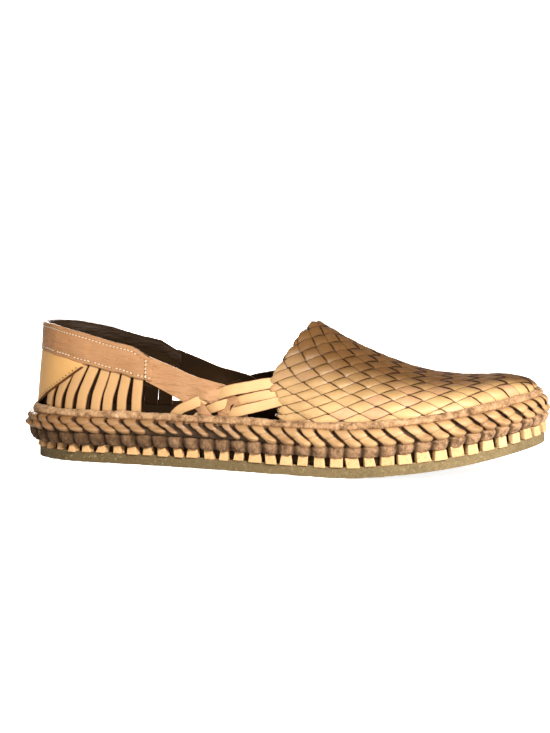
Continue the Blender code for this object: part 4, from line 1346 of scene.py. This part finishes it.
# Painted shade: the inner face of the fold is coloured near black.
inner_face = attribute(tree, "inside")
body = mixed(tree, inner_face, body, BAND_INSIDE_SHADE)
creased_face = bumped(tree, fine, 0.5 * MM, bumped(tree, crease_lines, 0.5 * MM))
dress(tree, shader, {
    "Base Color": body,
    "Roughness": finish.outputs["Roughness"],
    "Normal": bumped(tree, finish.outputs["Height"], 0.15 * MM, creased_face),
    "Specular IOR Level": 0.25,
    "Coat Weight": maths(tree, "MULTIPLY", maths(tree, "SUBTRACT", 1, inner_face), HIDE_GLOSS),
    "Coat Roughness": HIDE_COAT,
})
collar_band.data.materials.append(band_hide)
collar_strap = join(collar_straps, "collar_straps")
backed(collar_strap, band_hide)
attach(collar_strap, "root")
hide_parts("upper")
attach(collar_band, "root")
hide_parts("collar_band")


# The heel counter is a smooth golden patch of leather round the back of the heel. Its edge is skived thin,
# with a dark line painted along it as the shadow it casts, and one row of stitches along it holds it on.
COUNTER_END = 0.121
COUNTER_EDGE = (
    # rise is the height over the welt, a share of INSTEP_HEIGHT
    Rim(0.000, -0.07), Rim(0.012, 0.02), Rim(0.040, 0.14),
    Rim(0.077, 0.27), Rim(0.118, 0.42), Rim(0.128, 0.452),
)
COUNTER_RIM_SHADE = (1.1, 1.1, 0.9, 0, 0, 0, 0, 0)
COUNTER_COLOURS = ((0.74, 0.46, 0.19), (0.74, 0.46, 0.19), (0.50, 0.28, 0.10), (0.1, 0.042, 0.014))


def counter_foot(share, turns):
    return rise_at(COUNTER_EDGE, share)


def counter_at(part):
    def rise(share, turns):
        return counter_foot(share, turns) * (1 - part) + (band_foot(share, turns) + 0.6 * MM) * part
    return rise


def over_foot(rise):
    return lambda share, turns: counter_foot(share, turns) + rise


heel_counter = heel_piece(
    "heel_counter", COUNTER_END, 120,
    (
        (over_foot(-0.1 * MM), -0.7 * MM),
        (over_foot(-0.1 * MM), 0.25 * MM),
        (over_foot(0.4 * MM), 0.75 * MM),
        (over_foot(1.6 * MM), 0.55 * MM),
        (counter_at(0.35), 0.45 * MM),
        (counter_at(0.7), 0.4 * MM),
        (counter_at(1), 0.1 * MM),
        (counter_at(1), -0.7 * MM),
    ),
)
# Painted shadow: the first rings along the counter's edge are marked as edge and darkened.
ring_places = np.arange(len(heel_counter.data.vertices)) % len(COUNTER_RIM_SHADE)
mark(heel_counter, "edge", np.array(COUNTER_RIM_SHADE)[ring_places])
smooth(heel_counter, 50)
heel_counter.data.materials.append(hide("counter_leather", COUNTER_COLOURS, 0.8, 0.4))
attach(heel_counter, "root")
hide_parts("heel_counter")


# The band and the counter are sewn on with waxed white thread. Each stitch dips into a hole at its end,
# painted the near-black brown of the recess as the shade inside it, and where the thread has gone, as round
# the counter, the holes alone show.
THREAD_WHITE = (0.78, 0.72, 0.6)
THREAD_SOILED = (0.5, 0.4, 0.27)
THREAD_THICK = 0.24 * MM
HOLE_THICK = 0.34 * MM
STITCH_LONG = 1.5 * MM
STITCH_STEP = 2.1 * MM


def heel_frame(turn, rise, out, end_share=BAND_END):
    """A place on the heel with its directions along, up and out."""
    def at(t, r, o):
        run = abs(t) * run_of(end_share)
        share = share_of(np.array([run]))
        side = np.array([-1 if t < 0 else 1])
        height = np.array([r(share, np.array([t]))[0]]) if callable(r) else np.array([r])
        return on_last(share, heel_girth(share, height), side, np.array([o]))[0]
    here = at(turn, rise, out)
    ahead = at(turn + 0.004, rise, out) - at(turn - 0.004, rise, out)
    outward = at(turn, rise, out + 1 * MM) - here
    ahead = ahead / np.linalg.norm(ahead)
    outward = outward / np.linalg.norm(outward)
    upward = np.cross(outward, ahead)
    return here, ahead, upward, outward


def capsule(name, length, thick):
    bpy.ops.object.select_all(action="DESELECT")
    bpy.ops.mesh.primitive_uv_sphere_add(segments=8, ring_count=6, radius=1)
    piece = bpy.context.object
    piece.name = name
    points = points_of(piece)[:, [2, 0, 1]]
    points[:, 0] = points[:, 0] * thick + np.sign(np.round(points[:, 0], 3)) * (length / 2 - thick)
    points[:, 1:] *= thick
    points[:, 2] -= 0.8 * thick * (np.abs(points[:, 0]) / (length / 2)) ** 3
    set_points(piece, points)
    return piece


thread = capsule("thread", STITCH_LONG, THREAD_THICK)
hole = capsule("hole", 0.8 * MM, HOLE_THICK)
thread_points = points_of(thread)
hole_points = points_of(hole)
threads = []
holes = []


def sew(turn, rise, out, lean, bare, end_share=BAND_END):
    """A stitch and the hole at its end; a bare one has lost its thread."""
    here, ahead, upward, outward = heel_frame(turn, rise, out, end_share)
    line = ahead * math.cos(lean) + upward * math.sin(lean)
    across = upward * math.cos(lean) - ahead * math.sin(lean)
    basis = np.stack([line, across, outward])
    if not bare:
        piece = twin(thread)
        set_points(piece, here + thread_points @ basis)
        threads.append(piece)
    piece = twin(hole)
    set_points(piece, here + line * STITCH_STEP / 2 - outward * 0.2 * MM + hole_points @ basis)
    holes.append(piece)


count = int(2 * run_of(BAND_END) / STITCH_STEP)
for number in range(count):
    turn = -1 + 2 * (number + 0.7) / count
    sew(turn, under_top(2.2 * MM), 0.42 * MM, chance.uniform(-0.1, 0.1), number < 4)
    sew(turn, between(0.14), 0.48 * MM, (-1) ** number * 0.35 + chance.uniform(-0.1, 0.1), number % 6 == 4)
for side in (-1, 1):
    for part in np.linspace(0.16, 0.82, 5):
        sew(side * 0.965, between(part), 0.75 * MM, math.pi / 2 + 0.12 * side, part > 0.5 and side > 0)
count = int(2 * run_of(COUNTER_END) / STITCH_STEP)
for number in range(1, count):
    turn = -1 + 2 * (number + 0.2) / count
    sew(turn, over_foot(2.0 * MM), 0.68 * MM, -0.5 * math.copysign(1, turn), True, COUNTER_END)
bpy.data.objects.remove(thread)
bpy.data.objects.remove(hole)
threads = join(threads, "heel_thread")
holes = join(holes, "heel_holes")
smooth(threads, 80)
smooth(holes, 80)
thread_white, tree, shader = new_material("thread_white", 0.7)
body = mixed(tree, noise(tree, 600), THREAD_WHITE, THREAD_SOILED)
dress(tree, shader, {"Base Color": body, "Normal": bumped(tree, noise(tree, 2500), 0.1 * MM)})
threads.data.materials.append(thread_white)
holes.data.materials.append(painted_shade_brown)
for piece in (threads, holes):
    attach(piece, "root")


# The studio: a pale floor under a grey ceiling, a warm key light with two softer ones, and the camera at
# the photograph's angle, a little above the shoe.
FLOOR_PALE = (0.92, 0.92, 0.92)

bpy.ops.object.select_all(action="DESELECT")
bpy.ops.mesh.primitive_plane_add(size=6)
floor = bpy.context.object
floor.name = "floor"
floor_white, tree, shader = new_material("floor_white", 1.0)
seen = node(tree, "ShaderNodeLightPath").outputs["Is Camera Ray"]
glow = maths(tree, "MULTIPLY", seen, 0.75)
dress(tree, shader, {"Base Color": FLOOR_PALE, "Emission Color": (1, 1, 1), "Emission Strength": glow})
floor.data.materials.append(floor_white)

world = bpy.data.worlds.new("studio")
bpy.context.scene.world = world
world.use_nodes = True
tree = world.node_tree
sky = node(tree, "ShaderNodeTexCoord").outputs["Generated"]
split = node(tree, "ShaderNodeSeparateXYZ")
tree.links.new(sky, split.inputs[0])
ceiling = colour_ramp(tree, split.outputs["Z"], [(0.1, (0.4, 0.38, 0.36)), (0.6, (0.14, 0.14, 0.15))])
seen = node(tree, "ShaderNodeLightPath").outputs["Is Camera Ray"]
dress(tree, tree.nodes["Background"], {"Color": mixed(tree, seen, ceiling, (1, 1, 1)), "Strength": 1.0})
bpy.context.scene.view_settings.view_transform = "Standard"
bpy.context.scene.view_settings.look = "Medium High Contrast"


def soft_light(name, place, aim, size, power, colour=(1, 1, 1)):
    """A square light, turned towards what it lights."""
    bpy.ops.object.light_add(type="AREA", location=place)
    light = bpy.context.object
    light.name = name
    light.data.size = size
    light.data.energy = power
    light.data.color = colour
    towards = np.array(aim) - np.array(place)
    yaw = math.atan2(towards[1], towards[0])
    pitch = math.atan2(-towards[2], math.hypot(towards[0], towards[1]))
    light.rotation_euler = (math.pi / 2 - pitch, 0, yaw - math.pi / 2)


soft_light("key", (0.75, -0.95, 0.62), (0.02, 0, 0.03), 0.25, 25, (1, 0.97, 0.92))
soft_light("fill", (-0.5, -1.1, 0.7), (0, 0, 0.03), 0.6, 5)
soft_light("back", (-0.5, 1.1, 0.4), (0, 0, 0.03), 0.6, 16, (1, 0.98, 0.95))

AZIMUTH = math.radians(10)
ELEVATION = math.radians(6.5)
ROLL = math.radians(1.0)
DISTANCE = 0.8
AIM_HEIGHT = 0.030
LENS = 69.3
PHOTO_TALL = 733
PHOTO_SHIFT = (-6.5, 43)
camera_data = bpy.data.cameras.new("camera")
camera = bpy.data.objects.new("camera", camera_data)
bpy.context.collection.objects.link(camera)
back = np.array([
    math.sin(AZIMUTH) * math.cos(ELEVATION), -math.cos(AZIMUTH) * math.cos(ELEVATION), math.sin(ELEVATION),
])
right = np.array([math.cos(AZIMUTH), math.sin(AZIMUTH), 0])
up = np.cross(back, right)
rolled_right = right * math.cos(ROLL) + up * math.sin(ROLL)
rolled_up = up * math.cos(ROLL) - right * math.sin(ROLL)
target = np.array([0, -MIDDLE[1], AIM_HEIGHT])
place = target + back * DISTANCE
matrix = np.eye(4)
matrix[:3, 0] = rolled_right
matrix[:3, 1] = rolled_up
matrix[:3, 2] = back
matrix[:3, 3] = place
camera.matrix_world = [tuple(row) for row in matrix.T]
camera_data.lens = LENS
camera_data.shift_x = PHOTO_SHIFT[0] / PHOTO_TALL
camera_data.shift_y = PHOTO_SHIFT[1] / PHOTO_TALL
bpy.context.scene.camera = camera
